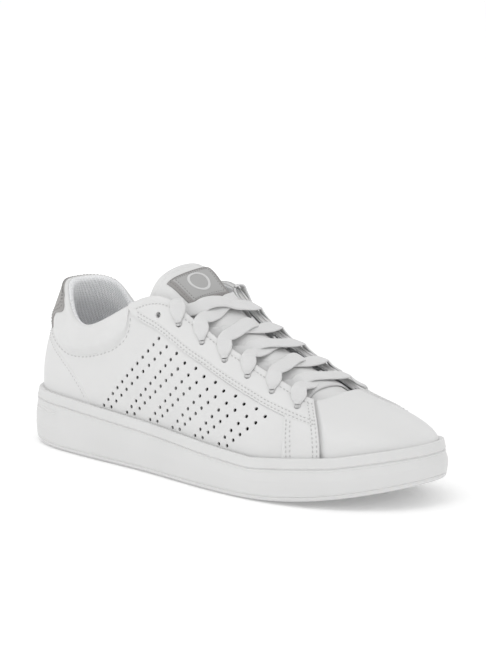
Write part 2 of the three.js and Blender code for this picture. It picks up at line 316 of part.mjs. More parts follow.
piece('eyestay_medial', drill(layer(block(NR - K_FRONT, NR - K_COLLAR, J_SEAM, J_TOP), c(OVERLAY[0]), c(OVERLAY[1])), 1), white);
piece('forefoot_strap_lateral', layer(block(K_STRAP, K_FRONT, 1, J_SEAM), c(OVERLAY[0]), c(OVERLAY[1])), white);
piece('forefoot_strap_medial', layer(block(NR - K_FRONT, NR - K_STRAP, 1, J_SEAM), c(OVERLAY[0]), c(OVERLAY[1])), white);
piece('heel_tab', layer(block(NR - 1.5, 1.5, J_SEAM, J_TOP), c(OVERLAY[0]), c(OVERLAY[1])), grey);
piece('heel_counter', layer(block(NR - K_HEEL, K_HEEL, 1, J_SEAM), c(COUNTER[0]), c(COUNTER[1])), boardLook);
piece('toe_puff', layer(block(18.5, NR - 18.5, 1, J_SEAM), c(PUFF[0]), c(PUFF[1])), boardLook);
piece('collar_foam', layer(block(NR - K_COLLAR, K_COLLAR, J_SEAM, J_TOP), c(FOAM_D[0]), c(FOAM_D[1])), foam);
piece('vamp_lining', layer(block(K_LIN, NR - K_LIN, 0, J_TOP), depthLining, (i, j) => depthLining(i, j) + LINING_T), mesh);
piece('collar_lining', layer([...block(NR - K_LIN, K_LIN, 0, J_TOP)], depthLining, (i, j) => depthLining(i, j) + LINING_T), mesh);
for (const n of ['vamp_lining', 'collar_lining']) { const m = root.getObjectByName(n); m.geometry = drill(drill(m.geometry, 0), 1); }
piece('tongue_cover', tonguePatch(TUS, TVS, c(0), c(1.2)), white);
piece('tongue_foam', tonguePatch(TUS, TVS, c(1.5), padT), foam);
piece('tongue_lining', tonguePatch(TUS, TVS, (u, v) => padT(u, v) + GAP, (u, v) => padT(u, v) + GAP + .8), mesh);
piece('tongue_label', tonguePatch([7.15, 7.4, 7.7, 8.0, 8.35, 8.7], [-.62, -.52, -.26, 0, .26, .52, .62], c(-1.15), c(-.35)), grey);
piece('label_ring', (() => { // raised ring on the label
  const pos = [], tri = [], n = 24; for (let i = 0; i < n; i++) { const a = i / n * 2 * Math.PI; for (const [r, d] of [[1, -1.45], [1, -2.0], [.74, -2.0], [.74, -1.45]]) pos.push(tOff(7.9 + .5 * r * Math.cos(a), .36 * r * Math.sin(a), d)); }
  for (let i = 0; i < n; i++) for (let j = 0; j < 4; j++) { const a = i * 4 + j, b = i * 4 + (j + 1) % 4, e = ((i + 1) % n) * 4 + (j + 1) % 4, f = ((i + 1) % n) * 4 + j; tri.push(a, b, e, a, e, f); }
  return solid(pos, tri); })(), mesh);
piece('lace', sweep(laceP), white);
piece('aglet_lateral', aglet(0), clear);
piece('aglet_medial', aglet(1), clear);
root.position.set(...SHIFT);
export default root;
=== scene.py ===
# Court shoe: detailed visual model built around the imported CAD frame. Lengths are written in millimetres and turned into metres in mk().
import bpy, math
import numpy as np
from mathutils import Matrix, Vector, kdtree


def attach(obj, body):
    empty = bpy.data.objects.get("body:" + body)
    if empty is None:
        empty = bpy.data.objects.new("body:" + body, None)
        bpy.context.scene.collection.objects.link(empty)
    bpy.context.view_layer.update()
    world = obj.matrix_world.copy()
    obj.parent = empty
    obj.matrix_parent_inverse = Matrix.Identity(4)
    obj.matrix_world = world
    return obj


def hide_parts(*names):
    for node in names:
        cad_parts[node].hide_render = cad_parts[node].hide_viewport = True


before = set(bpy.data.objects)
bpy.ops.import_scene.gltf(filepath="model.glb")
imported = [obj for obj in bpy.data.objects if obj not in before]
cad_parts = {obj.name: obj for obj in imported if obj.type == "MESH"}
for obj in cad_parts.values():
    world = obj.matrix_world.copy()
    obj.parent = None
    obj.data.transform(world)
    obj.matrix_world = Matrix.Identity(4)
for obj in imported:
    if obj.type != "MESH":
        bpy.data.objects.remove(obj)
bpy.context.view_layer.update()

SHIFT = np.array([0.22, 0.33, 0.0])

# ------------------------------------------------------------------ surface of the upper (same construction as the CAD)
OUTLINE = np.array([[-149.9, 0], [-144.8, -18.9], [-129.9, -31.9], [-105, -38.2], [-70.1, -41.5], [-30.2, -44.5], [9.6, -50], [44.9, -53.3],
  [77.9, -51.4], [107.7, -42.3], [131.7, -26.6], [146, -8], [149.4, 10.1], [141.6, 28.5], [122.2, 41.4], [95, 49.2], [65, 52.6], [30, 47.1],
  [-5, 39], [-40, 34.5], [-75, 35], [-108, 36.5], [-131, 31], [-145, 18]], float)
RIBS = np.array([
  [0.00, -129.0, 0.0, 103.2, 74, .42, .30, .08], [0.95, -125.5, -12.5, 102.2, 76, .42, .30, .08],
  [1.80, -118.0, -21.0, 95.2, 80, .42, .30, .07], [2.60, -108.0, -26.8, 85.2, 82, .42, .30, .06],
  [3.30, -96.0, -30.0, 80.0, 84, .42, .30, .05], [3.85, -81.5, -32.3, 83.0, 84, .42, .32, .04],
  [4.35, -66.0, -33.2, 90.3, 82, .42, .34, .03], [4.80, -51.5, -32.4, 97.6, 80, .42, .34, .02],
  [5.10, -41.0, -31.2, 102.4, 76, .42, .34, .0], [5.40, -30.5, -30.0, 104.6, 70, .42, .34, .0],
  [5.68, -20.5, -28.6, 102.6, 64, .42, .34, .0], [5.95, -12.0, -26.9, 97.2, 58, .42, .34, .0],
  [6.30, -1.5, -25.6, 91.2, 52, .42, .34, .0], [6.75, 15.0, -24.8, 82.8, 48, .42, .34, .0],
  [7.20, 32.5, -24.2, 75.4, 44, .42, .34, .0], [7.65, 50.0, -23.6, 68.6, 40, .42, .34, .0],
  [8.15, 67.0, -23.0, 62.4, 36, .42, .34, .0], [8.75, 80.5, -22.0, 57.4, 32, .42, .36, .0],
  [9.50, 87.5, -15.5, 57.8, 26, .28, .36, .0], [10.5, 90.8, -7.5, 60.0, 22, .17, .36, .0],
  [11.5, 91.8, 0.5, 60.6, 21, .12, .38, .0], [12.5, 90.8, 8.5, 60.0, 22, .14, .36, .0],
  [13.5, 87.5, 16.0, 57.8, 26, .24, .36, .0], [14.35, 80.5, 22.2, 57.4, 32, .42, .36, .0],
  [15.05, 67.0, 23.3, 62.6, 36, .42, .34, .0], [15.65, 50.0, 24.0, 68.9, 40, .42, .34, .0],
  [16.20, 32.5, 24.6, 75.8, 44, .42, .34, .0], [16.75, 15.0, 25.4, 83.4, 48, .42, .34, .0],
  [17.25, -1.5, 26.8, 92.4, 52, .42, .34, .0], [17.65, -12.0, 28.8, 99.0, 58, .42, .34, .0],
  [17.98, -20.5, 30.4, 104.4, 64, .42, .34, .0], [18.30, -30.5, 31.4, 106.0, 70, .42, .34, .0],
  [18.65, -41.0, 31.6, 103.6, 76, .42, .34, .0], [19.02, -51.5, 31.4, 98.6, 80, .42, .34, .02],
  [19.55, -66.0, 31.0, 91.4, 82, .42, .34, .03], [20.15, -81.5, 30.6, 84.4, 84, .42, .32, .04],
  [20.80, -96.0, 29.8, 81.6, 84, .42, .30, .05], [21.50, -107.0, 29.4, 88.4, 82, .42, .30, .06],
  [22.25, -116.0, 25.2, 98.4, 80, .42, .30, .07], [23.10, -125.0, 14.5, 103.0, 76, .42, .30, .08]])
NR = len(RIBS)
RIM_WALL, SKIRT, GROOVE_DROP, OUTSOLE_T = 2.6, 8.0, 6.0, 7.5
K_COLLAR, K_FRONT, K_STRAP = 6.9, 17.22, 16.05


def control(p, it=60):
    c = p.copy()
    for _ in range(it):
        c = c + p - (np.roll(c, 1, 0) + 4 * c + np.roll(c, -1, 0)) / 6
    return c


def spl(c, t):
    n = len(c); t = np.mod(np.asarray(t, float), 1.0) * n
    i = np.floor(t).astype(int); u = (t - i)[..., None]
    w = [(1 - u) ** 3 / 6, (3 * u ** 3 - 6 * u * u + 4) / 6, (-3 * u ** 3 + 3 * u * u + 3 * u + 1) / 6, u ** 3 / 6]
    return w[0] * c[(i - 1) % n] + w[1] * c[i % n] + w[2] * c[(i + 1) % n] + w[3] * c[(i + 2) % n]


def unit(a):
    return a / np.maximum(np.linalg.norm(a, axis=-1, keepdims=True), 1e-12)


def rimz(x):
    return np.interp(x, [-150, -100, -20, 60, 110, 150], [34.7, 33.7, 29.4, 24.3, 29.3, 36.8])


def groundz(x):
    return 14.58 * np.clip((x - 50) / 100, 0, 1) ** 2 + 3 * np.clip((-x - 110) / 40, 0, 1) ** 2


cOut = control(OUTLINE)
_o = spl(cOut, RIBS[:, 0] / 24); _tg = unit(spl(cOut, (RIBS[:, 0] + 1e-3) / 24) - spl(cOut, (RIBS[:, 0] - 1e-3) / 24)); _nin = np.stack([-_tg[:, 1], _tg[:, 0]], 1)
_f = _o * [.985, .97] + _nin * RIM_WALL
_F = np.column_stack([_f, rimz(_f[:, 0]) - 1]); _E = RIBS[:, 1:4]
_h = _E[:, :2] - _F[:, :2]; _hl = np.linalg.norm(_h, axis=1, keepdims=True); _h = _h / np.maximum(_hl, 1e-6)
_w = np.minimum(_hl / 18, 1); _h = unit(_h * _w + _nin * (1 - _w)); _ch = np.linalg.norm(_E - _F, axis=1, keepdims=True)
_d0 = unit(np.column_stack([-_h * RIBS[:, 7:8], np.ones(NR)])); _a = np.radians(RIBS[:, 4:5])
_d1 = np.column_stack([_h * np.cos(_a), np.sin(_a)])
CP = [control(a) for a in (_F, _F + _d0 * RIBS[:, 5:6] * _ch, _E - _d1 * RIBS[:, 6:7] * _ch, _E)]


def surf(k, s):
    k, s = np.broadcast_arrays(np.asarray(k, float), np.asarray(s, float))
    a = [spl(c, k / NR) for c in CP]; q = np.maximum(s, 0)[..., None]
    p = a[0] * (1 - q) ** 3 + 3 * a[1] * q * (1 - q) ** 2 + 3 * a[2] * q * q * (1 - q) + a[3] * q ** 3
    p = p.copy(); p[..., 2] += np.minimum(s, 0) * SKIRT
    return p


def nrm(k, s):
    k, s = np.broadcast_arrays(np.asarray(k, float), np.asarray(s, float))
    q = np.clip(s, 0, 1); dk = surf(k + .02, q) - surf(k - .02, q)
    ds = surf(k, np.minimum(q + .01, 1)) - surf(k, np.maximum(np.minimum(q + .01, 1) - .02, 0))
    ds = np.where((s <= 0)[..., None], np.array([0, 0, 1.0]), ds)
    return unit(np.cross(dk, ds))


def off(k, s, d):
    d = np.asarray(d, float)
    return surf(k, s) - nrm(k, s) * (d[..., None] if d.ndim else d)


def fold(k):
    k = np.mod(k, NR); return np.where(k > NR / 2, NR - k, k)


def step(x, a, b):
    t = np.clip((x - a) / (b - a), 0, 1); return t * t * (3 - 2 * t)


# ------------------------------------------------------------------ materials
def mat(name, color, rough=.5, spec=.5, sheen=0.0, coat=0.0, sss=0.0):
    m = bpy.data.materials.new(name); m.use_nodes = True; nt = m.node_tree; b = nt.nodes["Principled BSDF"]
    b.inputs["Base Color"].default_value = (*color, 1); b.inputs["Roughness"].default_value = rough
    b.inputs["Specular IOR Level"].default_value = spec
    if sheen: b.inputs["Sheen Weight"].default_value = sheen; b.inputs["Sheen Roughness"].default_value = .5
    if coat: b.inputs["Coat Weight"].default_value = coat; b.inputs["Coat Roughness"].default_value = .3
    return m, nt, b


def coords(nt, kind="Object"):
    t = nt.nodes.new("ShaderNodeTexCoord"); return t.outputs[kind]


def noise(nt, vec, scale, detail=3, rough=.5):
    n = nt.nodes.new("ShaderNodeTexNoise"); n.inputs["Scale"].default_value = scale; n.inputs["Detail"].default_value = detail; n.inputs["Roughness"].default_value = rough
    nt.links.new(vec, n.inputs["Vector"]); return n.outputs["Fac"]


def voro(nt, vec, scale, feature="F1"):
    n = nt.nodes.new("ShaderNodeTexVoronoi"); n.feature = feature; n.inputs["Scale"].default_value = scale
    nt.links.new(vec, n.inputs["Vector"]); return n.outputs["Distance"]


def bump(nt, h, dist, strength, prev=None):
    n = nt.nodes.new("ShaderNodeBump"); n.inputs["Distance"].default_value = dist; n.inputs["Strength"].default_value = strength
    nt.links.new(h, n.inputs["Height"])
    if prev is not None: nt.links.new(prev, n.inputs["Normal"])
    return n.outputs["Normal"]


def ramp(nt, fac, stops):
    n = nt.nodes.new("ShaderNodeValToRGB"); e = n.color_ramp.elements
    e[0].position, e[0].color = stops[0][0], (*stops[0][1], 1); e[1].position, e[1].color = stops[-1][0], (*stops[-1][1], 1)
    for p, c in stops[1:-1]:
        x = e.new(p); x.color = (*c, 1)
    nt.links.new(fac, n.inputs["Fac"]); return n.outputs["Color"]


def mathn(nt, op, a, b=None):
    n = nt.nodes.new("ShaderNodeMath"); n.operation = op
    for i, v in enumerate((a, b)):
        if v is None: continue
        if isinstance(v, (int, float)): n.inputs[i].default_value = v
        else: nt.links.new(v, n.inputs[i])
    return n.outputs[0]


def leather(name, c, rough=.42, grain=1.0, var=.02):
    m, nt, b = mat(name, c, rough, .42)
    v = coords(nt)
    big = noise(nt, v, 28, 2); col = ramp(nt, big, [(.3, tuple(x * (1 - var) for x in c)), (.7, tuple(min(1, x * (1 + var * .6)) for x in c))])
    nt.links.new(col, b.inputs["Base Color"])
    r = ramp(nt, noise(nt, v, 120, 3), [(.3, (rough - .05,) * 3), (.75, (rough + .08,) * 3)]); nt.links.new(r, b.inputs["Roughness"])
    n1 = bump(nt, voro(nt, v, 1150, "SMOOTH_F1"), .00012, .35 * grain); n2 = bump(nt, noise(nt, v, 420, 4, .6), .0003, .30 * grain, n1); n3 = bump(nt, noise(nt, v, 45, 2), .0012, .22 * grain, n2)
    nt.links.new(n3, b.inputs["Normal"]); return m


M_LEATHER = leather("white_leather", (.715, .715, .712))
M_VAMP = leather("vamp_leather", (.715, .715, .712), grain=.9)
M_GREY = leather("grey_leather", (.345, .335, .328), .5, 1.2, .04)
M_LABEL = leather("label_leather", (.40, .398, .395), .5, 1.0, .03)
M_LABEL_EDGE = leather("label_border", (.30, .29, .285), .55, 1.0, .05)
M_EMBLEM = leather("label_print", (.63, .63, .628), .42, .5, .02)


def rubber():
    m, nt, b = mat("sole_rubber", (.69, .69, .687), .5, .4); v = coords(nt)
    col = ramp(nt, noise(nt, v, 22, 3), [(.3, (.68, .68, .676)), (.7, (.71, .71, .707))]); nt.links.new(col, b.inputs["Base Color"])
    r = ramp(nt, noise(nt, v, 90, 3), [(.3, (.44,) * 3), (.7, (.58,) * 3)]); nt.links.new(r, b.inputs["Roughness"])
    n1 = bump(nt, noise(nt, v, 900, 3, .6), .00012, .35); n2 = bump(nt, noise(nt, v, 60, 2), .0006, .15, n1); nt.links.new(n2, b.inputs["Normal"]); return m


M_RUBBER = rubber()


def knit():  # ribbed mesh lining, pattern laid out on the piece's UVs in millimetres
    m, nt, b = mat("ribbed_mesh", (.66, .67, .685), .85, .25, .25); uv = coords(nt, "UV")
    sp = nt.nodes.new("ShaderNodeSeparateXYZ"); nt.links.new(uv, sp.inputs[0])
    x, y = sp.outputs[0], sp.outputs[1]
    sx = mathn(nt, "SINE", mathn(nt, "MULTIPLY", x, 2 * math.pi / 1.9)); sy = mathn(nt, "SINE", mathn(nt, "MULTIPLY", y, 2 * math.pi / 1.5))
    pr = mathn(nt, "ADD", mathn(nt, "MULTIPLY", mathn(nt, "MULTIPLY", sx, sy), .5), .5)
    rib = mathn(nt, "ADD", mathn(nt, "MULTIPLY", sx, .35), mathn(nt, "MULTIPLY", pr, .65))
    # colour follows the rib height and is darker in its low parts: painted shade in the mesh's hollows
    col = ramp(nt, pr, [(.05, (.74, .75, .77)), (.5, (.90, .905, .915)), (1, (.94, .943, .95))]); nt.links.new(col, b.inputs["Base Color"])
    n1 = bump(nt, rib, .0005, .8); n2 = bump(nt, noise(nt, coords(nt), 900, 3), .0002, .4, n1); nt.links.new(n2, b.inputs["Normal"]); return m


M_KNIT = knit()


def weave(name, c, px, py, depth=.00035, rough=.8):  # plain weave laid out on UVs in millimetres
    m, nt, b = mat(name, c, rough, .25, .3); uv = coords(nt, "UV")
    sp = nt.nodes.new("ShaderNodeSeparateXYZ"); nt.links.new(uv, sp.inputs[0]); x, y = sp.outputs[0], sp.outputs[1]
    a = mathn(nt, "ADD", mathn(nt, "MULTIPLY", x, 1 / px), mathn(nt, "MULTIPLY", y, 1 / py)); d = mathn(nt, "SUBTRACT", mathn(nt, "MULTIPLY", x, 1 / px), mathn(nt, "MULTIPLY", y, 1 / py))
    s1 = mathn(nt, "ABSOLUTE", mathn(nt, "SINE", mathn(nt, "MULTIPLY", a, math.pi))); s2 = mathn(nt, "ABSOLUTE", mathn(nt, "SINE", mathn(nt, "MULTIPLY", d, math.pi)))
    h = mathn(nt, "MAXIMUM", s1, s2)
    # colour follows the weave height and is 10 % darker between the yarns: painted shade in the gaps
    col = ramp(nt, h, [(.55, tuple(v * .9 for v in c)), (1, c)]); nt.links.new(col, b.inputs["Base Color"])
    n1 = bump(nt, h, depth, .7); n2 = bump(nt, noise(nt, coords(nt), 1400, 3), .00015, .5, n1); nt.links.new(n2, b.inputs["Normal"]); return m


M_LACE = weave("lace_cotton", (.79, .79, .788), .9, .9)
M_SOCK = weave("sockliner_cloth", (.80, .80, .81), 1.2, 1.2)
M_THREAD, _nt, _b = mat("stitch_thread", (.56, .56, .555), .6, .3, .2)
_n = bump(_nt, noise(_nt, coords(_nt), 2500, 2), .0001, .6); _nt.links.new(_n, _b.inputs["Normal"])
M_THREADG, _nt, _b = mat("stitch_thread_grey", (.22, .215, .21), .65, .3, .2)
_n = bump(_nt, noise(_nt, coords(_nt), 2500, 2), .0001, .6); _nt.links.new(_n, _b.inputs["Normal"])
# near-black material for a sheet behind the perforations: painted shade seen through the holes
M_HOLE_SHADE, _nt, _b = mat("hole_shade_sheet", (.012, .012, .012), .9, .1)
_n = bump(_nt, noise(_nt, coords(_nt), 1500, 3), .0002, .6); _nt.links.new(_n, _b.inputs["Normal"])
M_FOAM, _nt, _b = mat("foam", (.70, .68, .63), .95, .2)
_n = bump(_nt, voro(_nt, coords(_nt), 900), .0004, .6); _nt.links.new(_n, _b.inputs["Normal"])
M_BOARD, _nt, _b = mat("fibre_board", (.55, .50, .42), .9, .2)
_n = bump(_nt, noise(_nt, coords(_nt), 700, 5), .0003, .6); _nt.links.new(_n, _b.inputs["Normal"])


# ------------------------------------------------------------------ mesh helpers
def mk(name, v, faces, material, body="root", node=None, smooth=True, uv=None, mats=None, mat_idx=None):
    me = bpy.data.meshes.new(name); v = (np.asarray(v, float) + SHIFT) / 1000
    me.from_pydata(v.tolist(), [], [list(map(int, f)) for f in faces]); me.update()
    o = bpy.data.objects.new(name, me); bpy.context.scene.collection.objects.link(o)
    for m in (mats or [material]): me.materials.append(m)
    if mat_idx is not None: me.polygons.foreach_set("material_index", np.asarray(mat_idx, np.int32))
    if uv is not None:
        l = me.uv_layers.new(name="UVMap"); li = np.empty(len(me.loops), np.int32); me.loops.foreach_get("vertex_index", li)
        l.data.foreach_set("uv", np.asarray(uv, np.float32)[li].ravel())
    me.polygons.foreach_set("use_smooth", np.full(len(me.polygons), smooth))
    bpy.context.view_layer.update()
    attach(o, body)
    if node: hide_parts(*([node] if isinstance(node, str) else node))
    return o


def fix_out(v, faces):
    """Turns every face round if the closed surface is inside out."""
    v = np.asarray(v); vol = 0
    for f in faces:
        a, b, c = v[f[0]], v[f[1]], v[f[2]]; vol += np.dot(a, np.cross(b, c))
        if len(f) == 4: vol += np.dot(a, np.cross(c, v[f[3]]))
    return [tuple(reversed(f)) for f in faces] if vol < 0 else faces


def grid_faces(n, m, base=0, wrap=False):
    i = np.arange(n if wrap else n - 1); j = np.arange(m - 1); I, J = np.meshgrid(i, j, indexing="ij"); I2 = (I + 1) % n
    return np.stack([base + I * m + J, base + I2 * m + J, base + I2 * m + J + 1, base + I * m + J + 1], -1).reshape(-1, 4)


def shell(outer, inner, wrap=False):
    """Closed sheet between two point grids of shape (n, m, 3)."""
    n, m = outer.shape[:2]; v = np.concatenate([outer.reshape(-1, 3), inner.reshape(-1, 3)]); B = n * m
    f = [grid_faces(n, m, 0, wrap), grid_faces(n, m, B, wrap)[:, ::-1]]
    i = np.arange(n if wrap else n - 1); i2 = (i + 1) % n
    f.append(np.stack([i * m, B + i * m, B + i2 * m, i2 * m], -1)); f.append(np.stack([i * m + m - 1, i2 * m + m - 1, B + i2 * m + m - 1, B + i * m + m - 1], -1))
    if not wrap:
        j = np.arange(m - 1); f.append(np.stack([j, j + 1, B + j + 1, B + j], -1)); e = (n - 1) * m; f.append(np.stack([e + j, B + e + j, B + e + j + 1, e + j + 1], -1))
    f = np.concatenate(f)
    a, b, c, d = (v[f[:, t]] for t in range(4))
    vol = np.einsum("ij,ij->i", a, np.cross(b, c)).sum() + np.einsum("ij,ij->i", a, np.cross(c, d)).sum()
    return v, (f[:, ::-1] if vol < 0 else f)


def edge_rows(n, frac):
    """0..1 with two extra rows close to each end, for a rounded edge."""
    return np.concatenate([[0, frac * .35, frac], np.linspace(frac, 1 - frac, n)[1:-1], [1 - frac, 1 - frac * .35, 1]])


def edge_drop(r, frac):
    q = np.minimum(r, 1 - r) / max(frac, 1e-9); q = np.clip(q, 0, 1); return 1 - np.sqrt(np.maximum(1 - (1 - q) ** 2, 0))


class Lines:
    """Seam lines on the upper: each a dense run of points with normals, used for thread and for the groove that the thread pulls."""
    def __init__(self): self.runs = []

    def add(self, pts, nor): self.runs.append((np.asarray(pts), np.asarray(nor)))


def dense(fn, a, b, step_mm=.4, n0=200):
    """Points along fn(t) for t in a..b at even spacing; fn returns k, s."""
    t = np.linspace(a, b, n0); p = surf(*fn(t)); d = np.r_[0, np.cumsum(np.linalg.norm(np.diff(p, axis=0), axis=1))]
    m = max(int(d[-1] / step_mm), 2); return np.interp(np.linspace(0, d[-1], m), d, t), d[-1]


def capsules(paths, pitch, length, radius, lift, seg=7, rings=(-.5, -.38, 0, .38, .5), rad=(.0, .8, 1.0, .8, .0)):
    """Thread stitches along runs of (points, normals)."""
    V, F = [], []
    for P, N in paths:
        d = np.r_[0, np.cumsum(np.linalg.norm(np.diff(P, axis=0), axis=1))]; n = int(d[-1] / pitch)
        if n < 1: continue
        c = (np.arange(n) + .5) * d[-1] / n
        for x in c:
            q = [np.array([np.interp(x + e * length, d, P[:, a]) for a in range(3)]) for e in (-.5, 0, .5)]
            nn = unit(np.array([np.interp(x, d, N[:, a]) for a in range(3)])); t = unit(q[2] - q[0]); s = unit(np.cross(t, nn)); base = len(V)
            for r, k in zip(rings, rad):
                cen = q[0] * max(-r * 2, 0) + q[2] * max(r * 2, 0) + q[1] * (1 - abs(r) * 2) + nn * (lift - abs(r) ** 2 * 1.6 * radius * 2)
                if k == 0: V.append(cen - nn * radius * .6 if abs(r) > .4 else cen); continue
                for g in range(seg):
                    a = 2 * math.pi * g / seg; V.append(cen + (s * math.cos(a) + nn * math.sin(a)) * radius * k)
            R = [base + 1 + i * seg for i in range(len(rings) - 2)]
            for g in range(seg):
                h = (g + 1) % seg; F.append((base, R[0] + h, R[0] + g)); F.append((R[-1] + g, R[-1] + h, base + 1 + seg * (len(rings) - 2)))
                for a, b in zip(R[:-1], R[1:]): F.append((a + g, a + h, b + h, b + g))
    return np.array(V), F


def groove(P, lines, depth=.28, width=.75):
    """How far each point of P drops towards the seam lines."""
    pts = np.concatenate([l[0] for l in lines]); kd = kdtree.KDTree(len(pts))
    for i, p in enumerate(pts): kd.insert(p, i)
    kd.balance(); flat = P.reshape(-1, 3); out = np.array([kd.find(p)[2] for p in flat])
    return (depth * np.exp(-(out / width) ** 2)).reshape(P.shape[:-1])


def ramp_line(xs, ys):
    return lambda k: np.interp(k, xs, ys)


# eyestay's lower edge and collar seam, as height on each rib
EY_EDGE = ramp_line([6.9, 7.05, 7.3, 7.65, 8.1, 8.6, 9.15, 9.7, 10.3, 10.92, 12.31, 13.25, 14.51, 15.73, 16.58, 17.22], [.985, .92, .872, .824, .778, .738, .697, .664, .646, .636, .623, .608, .585, .540, .510, .462])
COLLAR_SEAM = ramp_line([0, 1.2, 2.1, 2.9, 3.4, 4.2, 5.0, 5.76, 6.1, 6.37, 6.6, 6.75, 6.84, 6.9], [.55, .548, .538, .535, .538, .580, .612, .642, .668, .70, .745, .80, .87, .985])
TOP_T = lambda k: 4.0 + 3.0 * (1 - step(fold(k), 5.6, 7.3))   # thickness of the rolled rim


def roll_s(k):
    """Height on the rib where the rim's roll begins."""
    a = surf(k, 1.0); b = surf(k, .96); return 1 - .04 * (TOP_T(k) / 2) / np.maximum(np.linalg.norm(a - b, axis=-1), 1e-6)


side_k = lambda k, side: k if side == 0 else NR - k
SEAMS = {0: Lines(), 1: Lines()}

# ------------------------------------------------------------------ eyelets
EY_K = [8.95, 10.5, 12.13, 13.18, 14.22, 15.30, 16.42]
EYELET_BACK, EYELET_R = 11.5, 2.4


class Eye:
    def __init__(self, side, i):
        self.k = side_k(EY_K[i], side); s, l, p = 1.0, 0.0, surf(self.k, 1.0)
        while l < EYELET_BACK:
            s -= .004; q = surf(self.k, s); l += np.linalg.norm(q - p); p = q
        self.s, self.p, self.n, self.e = s, p, nrm(self.k, s), surf(self.k, 1.0)


EY = [[Eye(sd, i) for i in range(7)] for sd in (0, 1)]

# ------------------------------------------------------------------ perforations of the quarters: six double diagonal rows
PERF_R = 1.12; PERF_PITCH = 6.0


def find_ks(x, z):
    kk, ss = np.meshgrid(np.linspace(4, 17, 131), np.linspace(0, .8, 81), indexing="ij"); g = surf(kk, ss)
    i = np.unravel_index(((g[..., 0] - x) ** 2 + (g[..., 2] - z) ** 2).argmin(), kk.shape); k, s = kk[i], ss[i]
    for _ in range(6):
        p = surf(k, s); dk = (surf(k + .01, s) - p) / .01; ds = (surf(k, s + .01) - p) / .01
        A = np.array([[dk[0], ds[0]], [dk[2], ds[2]]]); r = np.array([x - p[0], z - p[2]]); d = np.linalg.solve(A, r); k, s = k + d[0], s + d[1]
    return k, s


PERF = []
for row in range(6):
    for line in range(2):
        xt, xb = -25.5 + row * 16.3 + line * 7.4, -69.5 + row * 20.6 + line * 6.6
        kt = np.interp(xt, surf(np.linspace(7, 17, 60), .55)[:, 0], np.linspace(7, 17, 60)); top = surf(kt, EY_EDGE(kt) - .075)
        x0, z0 = xt, top[2] - line * 1.2; z1 = float(rimz(xb)) + 1.6 + line * .4
        n_ = int(round(math.hypot(xb - x0, z1 - z0) / PERF_PITCH))
        for i in range(n_ + 1):
            f = i / n_; PERF.append(find_ks(x0 + (xb - x0) * f, z0 + (z1 - z0) * f))


def cutters(holes, r, depth, seg=14):
    V, F = [], []
    for k, s in holes:
        p, n = surf(k, s), nrm(k, s); a = unit(np.cross(n, [1, 0, 0.3])); b = np.cross(n, a); base = len(V)
        for h in (3.0, -depth):
            for g in range(seg):
                t = 2 * math.pi * g / seg; V.append(p + n * h + (a * math.cos(t) + b * math.sin(t)) * r)
        F.append(tuple(base + g for g in range(seg))); F.append(tuple(base + seg + g for g in reversed(range(seg))))
        for g in range(seg):
            h = (g + 1) % seg; F.append((base + g, base + seg + g, base + seg + h, base + h))
    return V, F


def cut(o, holes, r, depth, seg=14):
    if not len(holes): return
    V, F = cutters(holes, r, depth, seg); me = bpy.data.meshes.new("cutter"); me.from_pydata(((np.array(V) + SHIFT) / 1000).tolist(), [], F); me.update()
    import bmesh
    bm = bmesh.new(); bm.from_mesh(me); bmesh.ops.recalc_face_normals(bm, faces=bm.faces); bm.to_mesh(me); bm.free()
    c = bpy.data.objects.new("cutter", me); bpy.context.scene.collection.objects.link(c)
    md = o.modifiers.new("cut", "BOOLEAN"); md.object = c; md.operation = "DIFFERENCE"; md.solver = "EXACT"
    bpy.context.view_layer.update(); dg = bpy.context.evaluated_depsgraph_get(); ev = bpy.data.meshes.new_from_object(o.evaluated_get(dg), preserve_all_data_layers=True, depsgraph=dg)
    o.modifiers.clear(); old = o.data; o.data = ev; ev.name = old.name; bpy.data.objects.remove(c); bpy.data.meshes.remove(me)


def sharp(o, deg=40):
    me = o.data; me.polygons.foreach_set("use_smooth", np.ones(len(me.polygons), bool))
    me.set_sharp_from_angle(angle=math.radians(deg))


# ------------------------------------------------------------------ upper pieces
def ks_between(a, b, mm=1.3):
    t = np.linspace(a, b, 400); p = surf(t, .5); d = np.r_[0, np.cumsum(np.linalg.norm(np.diff(p, axis=0), axis=1))]
    return np.interp(np.linspace(0, d[-1], max(int(d[-1] / mm), 3)), d, t), d[-1]


def piece(name, k0, k1, lo, hi, d0, thick, rows, material, node=None, mm=1.3, lines=None, bulge=None, rnd=.8, side=0, wrap=False, gdepth=.28):
    """A leather piece of the upper between two curves across the ribs, with rounded cut edges."""
    ks, L = ks_between(k0, k1, mm)
    if not wrap:
        ks = ks[0] + (ks[-1] - ks[0]) * edge_rows(len(ks), min(rnd / L, .2))
    fr_k = np.zeros(len(ks)) if wrap else edge_drop((ks - ks[0]) / (ks[-1] - ks[0]), rnd / L)
    if wrap: ks = ks[:-1]; fr_k = fr_k[:-1]
    H = 55.0; r = edge_rows(rows, rnd / H); fr_r = edge_drop(r, rnd / H)
    K, R = np.meshgrid(ks, r, indexing="ij"); f = np.abs(K) if k0 < 0 else K
    S = lo(f) + (hi(f) - lo(f)) * R; kk = side_k(K, side); d = d0(K, S) if callable(d0) else np.full(K.shape, float(d0))
    drop = np.maximum(fr_k[:, None], fr_r[None, :]) * thick * .45
    P = surf(kk, S); N = nrm(kk, S); dd = d + drop
    if lines: dd = dd + groove(P, lines, gdepth)
    if bulge is not None: dd = dd - bulge(K, S, R)
    outer = P - N * dd[..., None]; inner = P - N * (d + thick)[..., None]
    v, fc = shell(outer, inner, wrap)
    arc = np.r_[0, np.cumsum(np.linalg.norm(np.diff(P[:, rows // 2], axis=0), axis=1))][:, None] + R * 0; up = R * 60 + arc * 0
    uv = np.stack([arc, up], -1).reshape(-1, 2); uv = np.concatenate([uv, uv])
    o = mk(name, v, fc, material, node=node, uv=uv); sharp(o, 50); return o


